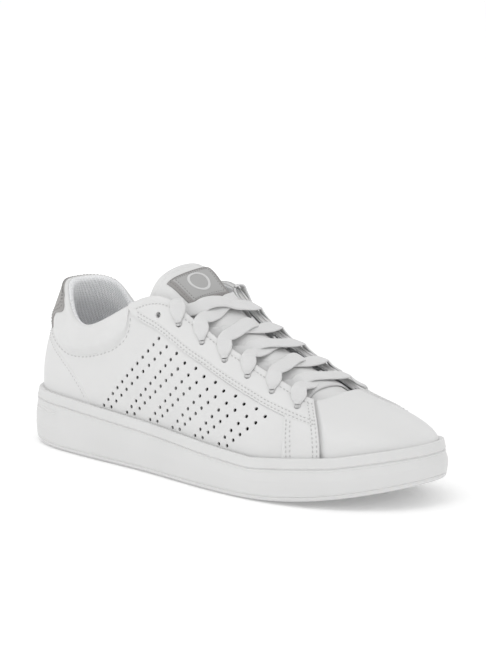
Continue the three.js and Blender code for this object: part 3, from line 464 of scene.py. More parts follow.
def run_ks(fn, a, b, side, inset_mm=0.0, d=0.0, toward=None):
    """Seam run along fn(t) -> k, s on one side, lying at depth d."""
    t, _ = dense(fn, a, b); k, s = fn(t); kk = side_k(k, side); P = off(kk, s, d); return P, nrm(kk, s)


def shift_s(k, s, mm):
    """Moves a height on a rib by mm along the rib."""
    l = np.linalg.norm(surf(k, np.clip(s + .02, 0, 1)) - surf(k, np.clip(s - .02, 0, 1)), axis=-1) / .04; return s + mm / np.maximum(l, 1)


def shift_k(k, s, mm):
    l = np.linalg.norm(surf(k + .05, s) - surf(k - .05, s), axis=-1) / .1; return k + mm / np.maximum(l, 1)


THREAD = []
for side in (0, 1):
    S = SEAMS[side]
    for mmv in (1.5, 4.2):   # two rows above the eyestay's lower edge
        fn = lambda t, mmv=mmv: (t, shift_s(t, EY_EDGE(t), mmv)); P, N = run_ks(fn, 7.45, 17.12, side); S.add(P, N)
    # one row inside the throat edge, round the top
    fn = lambda t: (t, shift_s(t, 1.0 + 0 * t, -2.4)); P, N = run_ks(fn, 7.35, 17.0, side); S.add(P, N)
    # front edge of the eyestay and strap, two rows
    for mmv in (-1.5, -4.0):
        fn = lambda t, mmv=mmv: (shift_k(K_FRONT + 0 * t, t, mmv), t); P, N = run_ks(fn, .015, .93, side); S.add(P, N)
    for mmv in (1.4, 3.9):   # back edge of the strap
        fn = lambda t, mmv=mmv: (shift_k(15.95 + .1 * np.clip(1 - t * 2, 0, 1), t, mmv), t); P, N = run_ks(fn, .015, .50, side); S.add(P, N)
    # collar seam
    t = np.concatenate([np.linspace(0, 6.3, 260), np.linspace(6.3, 6.9, 160)[1:]]); p = surf(side_k(t, side), COLLAR_SEAM(t)); p[1:-1] = p[1:-1] * .5 + (p[:-2] + p[2:]) * .25; n = nrm(side_k(t, side), COLLAR_SEAM(t))
    tg = np.gradient(p, axis=0); inn = unit(np.cross(tg, n)); ctr = surf(side_k(3.2, side), .95); inn = np.where(np.sum(inn * (p - ctr), -1, keepdims=True) < 0, -inn, inn); P = p + inn * 1.5 - n * 1.15
    SEAMS[(side, "collar")] = [(P[:-12], n[:-12])]

zero = lambda k: 0 * k
for side, nm in ((0, "lateral"), (1, "medial")):
    G = SEAMS[side].runs; CG = SEAMS[(side, "collar")]
    hi_q = lambda k: np.where(k < 6.9, np.minimum(COLLAR_SEAM(k) + .012, .985), .996)
    # the quarter runs under the eyestay, up to the collar seam behind it
    q = piece("quarter_leather_" + nm, .03, K_FRONT - .03, lambda k: -.7 + 0 * k, hi_q, 1.15, .9, 70, M_LEATHER, node="quarter_" + nm, side=side, lines=CG + G, gdepth=.12)
    holes = [(side_k(k, side), s) for k, s in PERF]; cut(q, holes, PERF_R, 6.0)
    cut(q, [(e.k, e.s) for e in EY[side]], EYELET_R, 8.0, 20); sharp(q, 50)
    e = piece("eyestay_leather_" + nm, 6.93, K_FRONT, EY_EDGE, lambda k: 1.0 + 0 * k, 0.0, 1.1, 34, M_LEATHER, node="eyestay_" + nm, side=side, lines=G, mm=1.1, gdepth=.3)
    cut(e, [(x.k, x.s) for x in EY[side]], EYELET_R * .78, 8.0, 24); sharp(e, 50)
    piece("forefoot_strap_leather_" + nm, 15.95, K_FRONT, lambda k: -.5 + 0 * k, lambda k: EY_EDGE(k) + .012, .12, 1.0, 40, M_LEATHER, node="forefoot_strap_" + nm, side=side, lines=G, mm=1.1)
    # tape sewn between leather and lining behind the eyelets
    tp = piece("eyestay_reinforcement_" + nm, 7.4, K_FRONT - .42, lambda k: EY_EDGE(k) + .015, lambda k: .994 + 0 * k, 2.1, 1.1, 12, M_LEATHER, node=None, side=side, mm=1.3, rnd=.15)
    cut(tp, [(x.k, x.s) for x in EY[side]], EYELET_R, 8.0, 20); sharp(tp, 50)
    # near-black sheet between quarter and lining, behind the perforations only: painted shade inside the holes
    dk = piece("perforation_shade_sheet_" + nm, 4.6, 15.6, lambda k: .0 + 0 * k, lambda k: EY_EDGE(np.maximum(k, 8.2)) - .01, 2.12, .25, 30, M_HOLE_SHADE, node=None, side=side, mm=4)

# vamp: runs a little way under both quarters
piece("vamp_leather_toe", K_FRONT - .35, NR - K_FRONT + .35, lambda k: -.7 + 0 * k, lambda k: 1.0 + 0 * k, lambda k, s: np.where((fold(k) < K_FRONT + .02), 2.6, 2.6 - 1.9 * step(fold(k), K_FRONT - .0, K_FRONT + .22)), 1.3, 66, M_VAMP, node="vamp", mm=1.3)

# heel cover: hump behind the diagonal seam
hc = ramp_line([0, 1.0, 1.77, 2.4, 3.02, 3.5, 3.84, 4.2, 4.48, 4.62], [.53, .515, .488, .472, .441, .375, .288, .17, .05, -.05])
piece("heel_cover_leather", -4.60, 4.60, lambda k: -.7 + 0 * k, lambda k: np.maximum(hc(k), -.45), .75, 1.5, 60, M_LEATHER, node="heel_cover", mm=1.2, rnd=.7)

# ------------------------------------------------------------------ padded collar: leather rolled over the rim, ribbed mesh inside
def rim_frame(k):
    """Top edge point, outward normal and up direction of the rim on rib k."""
    e = surf(k, 1.0); n = nrm(k, .97); u = e - surf(k, .93); u = unit(u - n * np.sum(u * n, -1, keepdims=True)); return e, n, u


def section(k, t, side, top_d=.1, seam_d=1.9, puff=1.7, s0=None):
    """Collar profile on rib k: t 0..1 outside from the seam up, 1..2 round the rim, 2..3 down the inside."""
    k = np.asarray(k, float); t = np.asarray(t, float); k, t = np.broadcast_arrays(k, t); a = fold(k)
    T = TOP_T(k); base = np.minimum(COLLAR_SEAM(a) - .03, .955) if s0 is None else s0(a)
    e, n, u = rim_frame(k); lenr = np.linalg.norm(surf(k, 1.0) - surf(k, .9), axis=-1) / .1
    sr = 1 - (T / 2) / lenr; sr = np.maximum(sr, base + .01)
    so = base + (sr - base) * np.clip(t, 0, 1); q = np.clip(t, 0, 1)
    bul = puff * np.sin(np.pi * np.clip(q, 0, 1) ** .8) * (1 - step(a, 6.0, 7.0)); d_out = seam_d + (top_d - seam_d) * step(q, 0, .34) - bul * (.35 + .65 * step(a, 1.2, 2.6))
    A = off(k, so, d_out)
    c = e - n * (T / 2)[..., None] - u * (T / 2)[..., None]; ang = np.pi * (np.clip(t, 1, 2) - 1); ro, ri = T / 2 - top_d, T / 2
    B = c + n * (np.cos(ang) * np.where(ang < np.pi / 2, ro, ri))[..., None] + u * (np.sin(ang) * (T / 2 - .25))[..., None]
    si = sr - (sr - .0) * np.clip(t - 2, 0, 1)
    C = off(k, si, inner_d(k, si))
    return np.where((t <= 1)[..., None], A, np.where((t <= 2)[..., None], B, C))


def inner_d(k, s):
    """Depth of the face the foot touches."""
    a = fold(k); pad = 1 - step(a, 5.6, 7.3); seam = COLLAR_SEAM(np.minimum(a, 6.3))
    low = np.where(a < 5.4, 5.7, 3.9) + 0 * s; low = 3.9 + 1.8 * (1 - step(a, 4.2, 5.6))
    f = step(s, seam - .14, seam + .10); T = TOP_T(k)
    swell = 1.1 * pad * np.exp(-((s - (seam + .24)) / .12) ** 2)
    return low + (T - low) * np.where(a < 7.3, f, 0) * pad + swell + (4.0 - low) * np.where(a >= 5.6, (1 - pad) * f, 0)


def normals_grid(G, wrap=False):
    if wrap: dk = np.roll(G, -1, 0) - np.roll(G, 1, 0)
    else: dk = np.gradient(G, axis=0)
    dt = np.gradient(G, axis=1); n = np.cross(dk, dt); return n / np.maximum(np.linalg.norm(n, axis=-1, keepdims=True), 1e-9)


def grid_piece(name, G, thick, material, node=None, body="root", edge=.8, uvs=(1, 1), inward=None, edges=(1, 1, 1, 1)):
    """Closed sheet under a grid of surface points; its cut edges are rounded."""
    n, m = G.shape[:2]; N = normals_grid(G); ref = G.mean((0, 1)) if inward is None else None
    if inward is not None and np.sum(N * inward) > 0: N = -N
    di = np.r_[0, np.cumsum(np.linalg.norm(np.diff(G[:, m // 2], axis=0), axis=1))]; dj = np.r_[0, np.cumsum(np.linalg.norm(np.diff(G[n // 2], axis=0), axis=1))]
    def drop(d, a, b):
        x = np.minimum(d if a else d + 9, (d[-1] - d) if b else d[-1] - d + 9) / edge; x = np.clip(x, 0, 1); return 1 - np.sqrt(np.maximum(1 - (1 - x) ** 2, 0))
    dr = np.maximum(drop(di, edges[0], edges[1])[:, None], drop(dj, edges[2], edges[3])[None]) * thick * .45
    O = G - N * dr[..., None]; I = G - N * thick; v, f = shell(O, I)
    uv = np.stack(np.meshgrid(di * uvs[0], dj * uvs[1], indexing="ij"), -1).reshape(-1, 2)
    o = mk(name, v, f, material, node=node, body=body, uv=np.concatenate([uv, uv])); sharp(o, 50); return o


def kspan(a, b, mm=1.2, s=.95):
    t = np.linspace(a, b, 600); p = surf(t, s); d = np.r_[0, np.cumsum(np.linalg.norm(np.diff(p, axis=0), axis=1))]
    return np.interp(np.linspace(0, d[-1], int(d[-1] / mm)), d, t)


def refine(x, frac=.006):
    L = x[-1] - x[0]; return np.concatenate([[x[0], x[0] + L * frac * .3, x[0] + L * frac], x[1:-1][(x[1:-1] > x[0] + L * frac * 1.5) & (x[1:-1] < x[-1] - L * frac * 1.5)], [x[-1] - L * frac, x[-1] - L * frac * .3, x[-1]]])


KC = 7.12
ks = refine(kspan(-KC, KC)); T_IN = 2.0
tt = np.concatenate([np.linspace(0, 1, 30)[:-1], np.linspace(1, 1.5, 12)])
K, Tt = np.meshgrid(ks, tt, indexing="ij")
G = section(K, Tt, 0); cen = np.array([-95.0, 0, 80.0])
# the sewn panel gives a little between the seams: shallow soft creases that run up from the seam
cr = .32 * np.sin(K * 7.1 + 1.3 * np.sin(K * 2.3)) * np.exp(-((Tt - .28) / .3) ** 2) + .22 * np.sin(K * 4.3 + .8) * np.exp(-((Tt - .75) / .3) ** 2)
G = G + nrm(K, .8) * (cr * (1 - step(np.abs(K), 5.6, 6.6)))[..., None]
inw = normals_grid(G); flipc = np.sum(inw * (G - cen)) < 0
collar = grid_piece("collar_leather", G, 1.2, M_LEATHER, node="collar_panel", inward=(cen - G))
# foam under the rolled leather
tf = np.concatenate([np.linspace(.1, 1, 10)[:-1], np.linspace(1, 2, 11)[:-1], np.linspace(2, 2.45, 8)])
Kf, Tf = np.meshgrid(kspan(-6.85, 6.85, 3.5), tf, indexing="ij"); Gf = section(Kf, Tf, 0, puff=.2)
N_ = normals_grid(Gf); N_ = N_ if np.sum(N_ * (Gf - cen)) > 0 else -N_; mid = off(Kf, np.clip(np.where(Tf <= 1, .62 + .3 * Tf, .9), 0, 1), TOP_T(Kf) / 2)
Gf2 = Gf - N_ * 1.7; vv, ff = shell(Gf2, Gf2 * .0 + (off(Kf, np.clip(np.interp(Tf, [0, 1, 2, 3], [.66, .9, .9, .66]), 0, 1), TOP_T(Kf) / 2 + np.interp(Tf, [0, 1, 1.5, 2, 3], [-.5, -.3, 0, .3, .5]))))
o = mk("collar_foam_core", vv, ff, M_FOAM, node="collar_foam")

# mesh lining: collar part, then the front part
def lining(name, k0, k1, node, mm=1.4):
    kk = kspan(k0, k1, mm, .5); a = fold(kk); t0 = 1.50 + .50 * step(a, 6.2, 7.3); q1 = np.linspace(0, 1, 12)[:-1][None]; q2 = np.linspace(0, 1, 56)[None]; q3 = np.linspace(0, 1, 5)[1:][None]; kc = kk[:, None]
    A = section(kc + 0 * q1, t0[:, None] + (2 - t0)[:, None] * q1, 0); B = section(kc + 0 * q2, 2 + q2, 0); bot = off(kc + 0 * q3, 0 * q3, inner_d(kc + 0 * q3, 0 * q3)); bot = bot - np.array([0, 0, 1.0]) * (q3 * SKIRT * .5)[..., None]
    G = np.concatenate([A, B, bot], 1); n, m = G.shape[:2]; N = normals_grid(G); mid_ = surf(kc, .5)[:, 0].mean(0); c0 = np.array([0, 0, 50.0]) if name.startswith("collar") else np.array([70, 0, 40.0])
    N = -N if np.sum(N[:, -20:] * (c0 - G[:, -20:])) < 0 else N
    rl = np.arange(m)[None] / (m - 1.0); drop = .32 * np.exp(-rl * 70) + 0 * kc; O = G - N * drop[..., None]; I = G - N * .75; v, f = shell(O, I)
    d = np.r_[0, np.cumsum(np.linalg.norm(np.diff(G[:, 24], axis=0), axis=1))][:, None] + 0 * rl; h = np.linalg.norm(np.diff(G, axis=1), axis=-1); h = np.concatenate([np.zeros((n, 1)), np.cumsum(h, 1)], 1)
    ca, sa = math.cos(math.radians(28)), math.sin(math.radians(28)); uv = np.stack([d * ca + h * sa, -d * sa + h * ca], -1).reshape(-1, 2)
    return mk(name, v, f, M_KNIT, node=node, uv=np.concatenate([uv, uv]))


lc = lining("collar_mesh_lining", -14.75, 14.75, "collar_lining"); lv = lining("vamp_mesh_lining", 14.85, NR - 14.85, "vamp_lining")
for o in (lc, lv):
    for sd in (0, 1):
        hs = [(e.k, e.s) for e in EY[sd] if (fold(e.k) < 14.8) == (o is lc)]; cut(o, hs, EYELET_R * .78, 8.0, 20)
    sharp(o, 50)

# ------------------------------------------------------------------ grey heel tab over the back of the collar
def tab_edge(t):
    return np.interp(t, [.05, .13, .21, .30, .44, .58, .70, .80, .87, .93, 1.0, 1.1, 1.2], [1.60, 1.50, 1.46, 1.50, 1.66, 1.92, 2.16, 2.32, 2.40, 2.41, 2.34, 2.15, 1.98])


kt = np.linspace(-1, 1, 61); tt2 = np.concatenate([np.linspace(.06, 1, 44)[:-1], np.linspace(1, 1.2, 6)])
q, Tq = np.meshgrid(kt, tt2, indexing="ij"); Kt = q * tab_edge(Tq); Gt = section(Kt, Tq, 0); Nt = normals_grid(Gt); Nt = Nt if np.sum(Nt * (Gt - cen)) > 0 else -Nt
Gt = Gt + Nt * 1.0
tab = grid_piece("heel_tab_leather", Gt, 1.15, M_GREY, node="heel_tab", inward=(cen - Gt), edge=.9)


def on_tab(q, t, h):
    q, t = np.broadcast_arrays(np.asarray(q, float), np.asarray(t, float)); P = section(q * tab_edge(t), t, 0); e = .01
    a = section((q + e) * tab_edge(t), t, 0) - section((q - e) * tab_edge(t), t, 0); b = section(q * tab_edge(t + e), t + e, 0) - section(q * tab_edge(t - e), t - e, 0); n = unit(np.cross(a, b))
    n = np.where(np.sum(n * (P - cen), -1, keepdims=True) < 0, -n, n); return P + n * h, n


tabruns = []
for ins in (.075, .17):
    t = np.linspace(.10 + ins * .45, 1.16, 120)
    for sg in (-1, 1): tabruns.append(on_tab(sg * (1 - ins), t, 1.02))
    qq = np.linspace(-(1 - ins), 1 - ins, 80); tabruns.append(on_tab(qq, .075 + ins * .5, 1.02)); tabruns.append(on_tab(qq, 1.19 - ins * .5, 1.02))
V, F = capsules(tabruns, 2.3, 1.75, .30, .05); mk("heel_tab_stitching", V, F, M_THREADG)

# ------------------------------------------------------------------ stitching of the upper
V, F = [], []
for side in (0, 1):
    v, f = capsules([(p, n) for p, n in SEAMS[side].runs], 2.6, 1.7, .36, -.12); F += [tuple(i + len(V) for i in x) for x in f]; V += list(v)
    v, f = capsules([(p, n) for p, n in SEAMS[(side, "collar")]], 3.6, 2.5, .36, .06); F += [tuple(i + len(V) for i in x) for x in f]; V += list(v)
# heel cover: one row inside its edge, on each side
for mmv in (-1.6,):
    for side in (0, 1):
        t = np.linspace(0, 4.42, 300); s = hc(t); p = surf(side_k(t, side), s); tg = np.gradient(p, axis=0); n = nrm(side_k(t, side), s); inn = unit(np.cross(tg, n)); cdir = surf(side_k(t, side), s - .05) - p
        inn = np.where(np.sum(inn * cdir, -1, keepdims=True) < 0, -inn, inn); P = p + inn * (-mmv) - n * .75; keep = P[:, 2] > rimz(P[:, 0]) + 1.0
        v, f = capsules([(P[keep], n[keep])], 2.5, 1.85, .33, -.02); F += [tuple(i + len(V) for i in x) for x in f]; V += list(v)
mk("upper_stitching", np.array(V), F, M_THREAD)

# ------------------------------------------------------------------ tongue
TONGUE = np.array([[88, 56.2, 12.5, 3, 2, 0], [80, 57.6, 17.0, 3, 3.8, 0], [65, 62.4, 20.4, 3.4, 6, 0], [50, 68.4, 20.8, 3.4, 7, 0], [32, 75.4, 21.2, 3.4, 7.8, 0], [15, 82.8, 21.4, 3, 9, 0.01], [-2, 92.0, 22.2, 2, 10, 0.03], [-18, 103.0, 24.8, 1.5, 12, 0.07], [-30, 112.2, 26.6, 1.5, 14, 0.11], [-39, 116.4, 26.6, 4, 12.5, 0.14], [-45, 116.8, 24.4, 6.5, 7, 0.16]], float)
TY = 0.8


def cT(u, c, tab=TONGUE):
    u = np.asarray(u, float); n = len(tab) - 1; i = np.clip(np.floor(u).astype(int), 0, n - 1); f = u - i; g = lambda j: tab[np.clip(j, 0, n), c]
    a, b, d, e = g(i - 1), g(i), g(i + 1), g(i + 2); m0 = np.where(i == 0, d - b, (d - a) / 2); m1 = np.where(i + 1 == n, d - b, (e - b) / 2)
    return b * (2 * f ** 3 - 3 * f * f + 1) + m0 * (f ** 3 - 2 * f * f + f) + d * (-2 * f ** 3 + 3 * f * f) + m1 * (f ** 3 - f * f)


def tongueP(u, v):
    u, v = np.broadcast_arrays(np.asarray(u, float), np.asarray(v, float)); w = cT(u, 2)
    return np.stack([cT(u, 0), TY + w * v, cT(u, 1) - cT(u, 3) * v ** 2 - cT(u, 4) * v ** 6 + cT(u, 5) * w * v], -1)


def tongueN(u, v):
    a = tongueP(np.maximum(u - .05, 0), v) - tongueP(np.minimum(u + .05, 10), v); b = tongueP(u, v - .02) - tongueP(u, v + .02); n = unit(np.cross(a, b)); return np.where(n[..., 2:3] < 0, -n, n)


def tOff(u, v, d):
    u, v = np.broadcast_arrays(np.asarray(u, float), np.asarray(v, float)); return tongueP(u, v) - tongueN(u, v) * np.asarray(d, float)[..., None]


padT = lambda u, v: 1.5 + np.where(u > .5, 3.2, 1.2) * (1 - .75 * v * v)
us = edge_rows(110, .02) * 10; vs = edge_rows(60, .05) * 2 - 1; U, W = np.meshgrid(us, vs, indexing="ij")
ev = np.clip((1 - np.abs(W)) / .10, 0, 1); eu = np.clip((10 - U) / .42, 0, 1); rnd = 1 - np.sqrt(np.maximum(1 - (1 - np.minimum(ev, eu)) ** 2, 0))
Th = padT(U, W) + 1.1; crease = .55 * np.exp(-((U - 8.95) / .10) ** 2) * (np.abs(W) < .98)
d_o = Th * .5 * rnd - .5 * (1 - W ** 2) * step(U, 5.5, 7) * (1 - step(U, 9.4, 10)) + crease; d_i = Th - Th * .5 * rnd + .25
O, I = tOff(U, W, d_o), tOff(U, W, d_i)
v, f = shell(O, tOff(U, W, np.minimum(d_o + 1.1, (d_o + d_i) / 2 + .25))); uvt = np.stack([U * 14, W * 25], -1).reshape(-1, 2)
tc = mk("tongue_leather", v, f, M_LEATHER, body="tongue", node="tongue_cover", uv=np.concatenate([uvt, uvt])); sharp(tc, 60)
v, f = shell(tOff(U, W, np.maximum(d_i - .8, (d_o + d_i) / 2 + .27)), I); tl = mk("tongue_mesh_lining", v, f, M_KNIT, body="tongue", node="tongue_lining", uv=np.concatenate([uvt, uvt])); sharp(tl, 60)
Uf, Wf = np.meshgrid(np.linspace(.3, 9.6, 40), np.linspace(-.86, .86, 24), indexing="ij"); v, f = shell(tOff(Uf, Wf, 1.5), tOff(Uf, Wf, padT(Uf, Wf) * .97)); mk("tongue_foam_core", v, f, M_FOAM, body="tongue", node="tongue_foam")

# label: stitched border and a raised plain ring
LU0, LU1, LV = 6.75, 8.40, .70
lb = lambda a, b: (LU0 + (LU1 - LU0) * a, (b * 2 - 1) * LV)
def label_grid(a0, a1, b0, b1, na, nb, h0, h1):
    A, B = np.meshgrid(a0 + (a1 - a0) * edge_rows(na, .03), b0 + (b1 - b0) * edge_rows(nb, .03), indexing="ij"); x = np.minimum(np.minimum(A - a0, a1 - A) / (a1 - a0) / .03, np.minimum(B - b0, b1 - B) / (b1 - b0) / .03); x = np.clip(x, 0, 1)
    r = .4 * (1 - np.sqrt(np.maximum(1 - (1 - x) ** 2, 0))); u, w = lb(A, B); return tOff(u, w, -(h1 - r)), tOff(u, w, -h0 + 0 * A)


O, I = label_grid(0, 1, 0, 1, 50, 50, .1, 1.15); v, f = shell(O, I); lab = mk("tongue_label_border", v, f, M_LABEL_EDGE, body="tongue", node="tongue_label"); sharp(lab, 60)
O, I = label_grid(.085, .915, .085, .915, 46, 46, 1.0, 1.42); v, f = shell(O, I); l2 = mk("tongue_label_field", v, f, M_LABEL, body="tongue"); sharp(l2, 60)
runs = []
for ins, hh in ((.045, 1.15), (.125, 1.42)):
    for a0, b0, a1, b1 in ((ins, ins, ins, 1 - ins), (1 - ins, ins, 1 - ins, 1 - ins), (ins, ins, 1 - ins, ins), (ins, 1 - ins, 1 - ins, 1 - ins)):
        f_ = np.linspace(0, 1, 60); u, w = lb(a0 + (a1 - a0) * f_, b0 + (b1 - b0) * f_); runs.append((tOff(u, w, -hh - .02 + 0 * f_), tongueN(u, w)))
V, F = capsules(runs, 1.9, 1.4, .25, .0); mk("tongue_label_stitching", V, F, M_THREADG, body="tongue")
an = np.linspace(0, 2 * math.pi, 73)[:-1]; sec_n = 12; rv = []
for a in an:
    for g in range(sec_n):
        b = 2 * math.pi * g / sec_n; rr = 1 + .13 * math.cos(b); h = 1.42 + .05 + .34 * max(math.sin(b), -.4); u, w = lb(.54 + .27 * rr * math.cos(a), .5 + .20 * rr * math.sin(a)); rv.append(tOff(u, w, -h))
rf = [(i * sec_n + g, ((i + 1) % 72) * sec_n + g, ((i + 1) % 72) * sec_n + (g + 1) % sec_n, i * sec_n + (g + 1) % sec_n) for i in range(72) for g in range(sec_n)]
rv = np.array(rv).reshape(-1, 3); mk("label_ring_print", rv, fix_out(rv, rf), M_EMBLEM, body="tongue", node="label_ring")

# ------------------------------------------------------------------ lace
LACE_W, LACE_T = 9.5, 1.2


def tongueZ(x, y):
    a, b = 0.0, 10.0
    for _ in range(40):
        m = (a + b) / 2
        if cT(m, 0) > x: a = m
        else: b = m
    w = cT(a, 2); v = (y - TY) / w; q = min(abs(v), 1.12); return float(cT(a, 1) - cT(a, 3) * q * q - cT(a, 4) * q ** 6 + cT(a, 5) * w * v)


laceP = []
def put(p, up, w=LACE_W, t=LACE_T): laceP.append((np.array(p, float), unit(np.array(up, float)), w, t))


def near(e, dist, h):
    s = e.s + (1 - e.s) * min(max(dist / EYELET_BACK, -.3), 1); n = nrm(e.k, min(s, 1)); p = surf(e.k, min(s, 1)) + n * h
    if dist > EYELET_BACK: p = p + unit(surf(e.k, 1) - surf(e.k, .96)) * (dist - EYELET_BACK)
    return p, n


def wrap(e):
    T = EYELET_BACK; d = unit(e.e - e.p)
    def q(dist, h, w=LACE_W, t=LACE_T, tilt=0.0):
        p, n = near(e, dist, h); put(p, n + d * tilt, w, t)
    q(T + 2.2, 1.75, LACE_W - 1.0, LACE_T, .25); q(T - 2.6, 1.0, LACE_W, LACE_T); q(T - 6.2, .95, 7.4, 1.3); q(3.4, 1.1, 5.2, 1.5); q(1.35, 1.0, 3.6, 1.7, .7)
    q(0, -.8, 3.2, 1.7, 3); q(0, -2.7, 3.0, 1.7, 30); q(.8, -5.0, 3.2, 1.7, -3); q(3.6, -5.75, 5.0, 1.4, 0); q(T - 2.0, -5.7, 7.0, 1.2, 0)


def tuck(e):
    T = EYELET_BACK; d = unit(e.e - e.p)
    def far(s, h, dx, w=LACE_W, t=LACE_T): n = nrm(e.k, s); put(surf(e.k, s) + n * h + np.array([dx, 0, 0]), n, w, t)
    far(.46, -8.0, 6, 3.2, 2.2); far(.54, -7.6, 4, 7.5); far(.64, -7.0, 2); far(.77, -6.2, 1); far(.90, -5.9, 0)
    p1, n1 = near(e, T + 3.0, -5.4); p2, n2 = near(e, T + 4.8, -1.6); put(p1 + [1.2, 0, 0], n1 + d * .5, 5.6); put(p2 + [1.2, 0, 0], n2 + d * 2, 5.4)


def over(fr, to, hi):
    side = 0 if fr in EY[0] else 1; i = EY[side].index(fr); nx = EY[side][min(i + 1, 6)]; a = off(fr.k + (nx.k - fr.k) * .4, .965, 5.9); b = near(to, EYELET_BACK + 2.2, 1.75)[0]; n = 8
    def at(f):
        x, y, e = a[0] + (b[0] - a[0]) * f, a[1] + (b[1] - a[1]) * f, .6; gy = (tongueZ(x, y + e) - tongueZ(x, y - e)) / (2 * e); gx = (tongueZ(x + 2, TY) - tongueZ(x - 2, TY)) / 4; g = math.sqrt(gx * gx + gy * gy + 1)
        lump = min(max((f - .12) / .2, 0), 1); h = 1.35 + (1.9 if hi else 0) * lump + (1.2 if x < -6 else 0) * min(f / .12, 1); rest = tongueZ(x, y) + h * min(g, 1.7); taut = a[2] + (b[2] - a[2]) * f + (1.6 if hi else 0) * lump; d = rest - taut; z = taut + (d + math.sqrt(d * d + 1)) / 2
        return np.array([x, y, z]), np.array([-gx, -gy * min(max((d + 2) / 4, .25), 1), 1])
    knee = at(.7)
    for i in range(1, n):
        f = i / n
        if f <= .7: put(*at(f))
        else:
            u = (f - .7) / .3; p = knee[0] + (b - knee[0]) * u; p[2] += 1.2 * math.sin(math.pi * u) * .4; put(p, [knee[1][0], knee[1][1] * .6, 1])


def half(lst, hs):
    tuck(EY[lst[0][0]][lst[0][1]])
    for n, (sd, i) in enumerate(lst):
        wrap(EY[sd][i])
        if n + 1 < len(lst): over(EY[sd][i], EY[lst[n + 1][0]][lst[n + 1][1]], hs[n])


half([(0, 1), (1, 2), (0, 3), (1, 4), (0, 5), (1, 6)], [1, 1, 1, 1, 1]); first = laceP[:]; laceP.clear()
half([(1, 1), (0, 2), (1, 3), (0, 4), (1, 5), (0, 6)], [0, 0, 0, 0, 0]); second = laceP[::-1]; laceP = []
A_, B_ = first[-1][0], second[0][0]; link = []
for i in range(1, 8):
    f = i / 8; y = A_[1] + (B_[1] - A_[1]) * f; x = A_[0] + (B_[0] - A_[0]) * f; gy = (tongueZ(x, y + .6) - tongueZ(x, y - .6)) / 1.2
    link.append((np.array([x, y, tongueZ(x, y) + 1.2 * min(math.hypot(gy, 1.06), 1.7)]), unit(np.array([.4, -gy, 1])), 6.5, 1.2))


def ribbon(lst, sub=6):
    P = np.array([a[0] for a in lst]); Up = np.array([a[1] for a in lst]); Wd = np.array([[a[2], a[3]] for a in lst]); n = len(P)
    def cr(A, i, f):
        g = lambda j: A[min(max(j, 0), n - 1)]; a, b, c, d = g(i - 1), g(i), g(i + 1), g(i + 2); return .5 * (2 * b + (c - a) * f + (2 * a - 5 * b + 4 * c - d) * f * f + (3 * b - a - 3 * c + d) * f ** 3)
    Q, U2, W2 = [], [], []
    for i in range(n - 1):
        for j in range(sub):
            f = j / sub; p = cr(P, i, f) * .55 + (P[i] * (1 - f) + P[i + 1] * f) * .45; Q.append(p); U2.append(Up[i] * (1 - f) + Up[i + 1] * f); W2.append(Wd[i] * (1 - f) + Wd[i + 1] * f)
    Q.append(P[-1]); U2.append(Up[-1]); W2.append(Wd[-1]); Q, U2, W2 = map(np.array, (Q, U2, W2))
    for _ in range(3): Q[1:-1] = Q[1:-1] * .5 + (Q[:-2] + Q[2:]) * .25; U2[1:-1] = U2[1:-1] * .5 + (U2[:-2] + U2[2:]) * .25; W2[1:-1] = W2[1:-1] * .5 + (W2[:-2] + W2[2:]) * .25
    T = unit(np.gradient(Q, axis=0)); S = unit(np.cross(T, unit(U2))); N = unit(np.cross(S, T)); d = np.r_[0, np.cumsum(np.linalg.norm(np.diff(Q, axis=0), axis=1))]
    sec = [(-.5, -.16), (-.47, -.4), (-.4, -.5), (-.2, -.5), (0, -.5), (.2, -.5), (.4, -.5), (.47, -.4), (.5, -.16), (.5, .16), (.47, .4), (.4, .5), (.2, .5), (0, .5), (-.2, .5), (-.4, .5), (-.47, .4), (-.5, .16)]
    cup = .22; m = len(sec); V = np.zeros((len(Q), m, 3)); UV = np.zeros((len(Q), m, 2))
    for j, (a, b) in enumerate(sec):
        arch = -cup * (a * 2) ** 2; V[:, j] = Q + S * (a * W2[:, :1]) + N * (b * W2[:, 1:2] + arch); UV[:, j, 0] = d; UV[:, j, 1] = a * 9.5
    v = V.reshape(-1, 3); f = []
    for i in range(len(Q) - 1):
        for j in range(m): k = (j + 1) % m; f.append((i * m + j, i * m + k, (i + 1) * m + k, (i + 1) * m + j))
    f.append(tuple(reversed(range(m)))); e = (len(Q) - 1) * m; f.append(tuple(e + j for j in range(m))); return v, fix_out(v, f), UV.reshape(-1, 2), d[-1]


v, f, uv, LACE_LEN = ribbon(first + link + second); lace = mk("flat_lace", v, f, M_LACE, node="lace", uv=uv); sharp(lace, 60)
print("lace length mm", round(LACE_LEN))

# ------------------------------------------------------------------ cup sole, board and sock
def plan(k, sc, ins):
    f = surf(k, 0 * k); e = .02; a, b = surf(k + e, 0 * k), surf(k - e, 0 * k); t = unit((a - b)[..., :2]); n = np.stack([-t[..., 1], t[..., 0]], -1); rim = f[..., :2] - n * RIM_WALL
    return np.stack([rim[..., 0] / .985 * sc[0] + n[..., 0] * ins, rim[..., 1] / .97 * sc[1] + n[..., 1] * ins], -1)


NS_ = 600; KS_ = np.arange(NS_) * NR / NS_


def ringp(sx, sy, ins, z, mod=None):
    p = plan(KS_, (sx, sy), 0.0); q = plan(KS_, (sx, sy), 1.0) - p; i_ = np.broadcast_to(ins, KS_.shape) if not callable(ins) else ins(p[:, 0]); p = p + q * i_[:, None]; return np.column_stack([p, z(p[:, 0])])


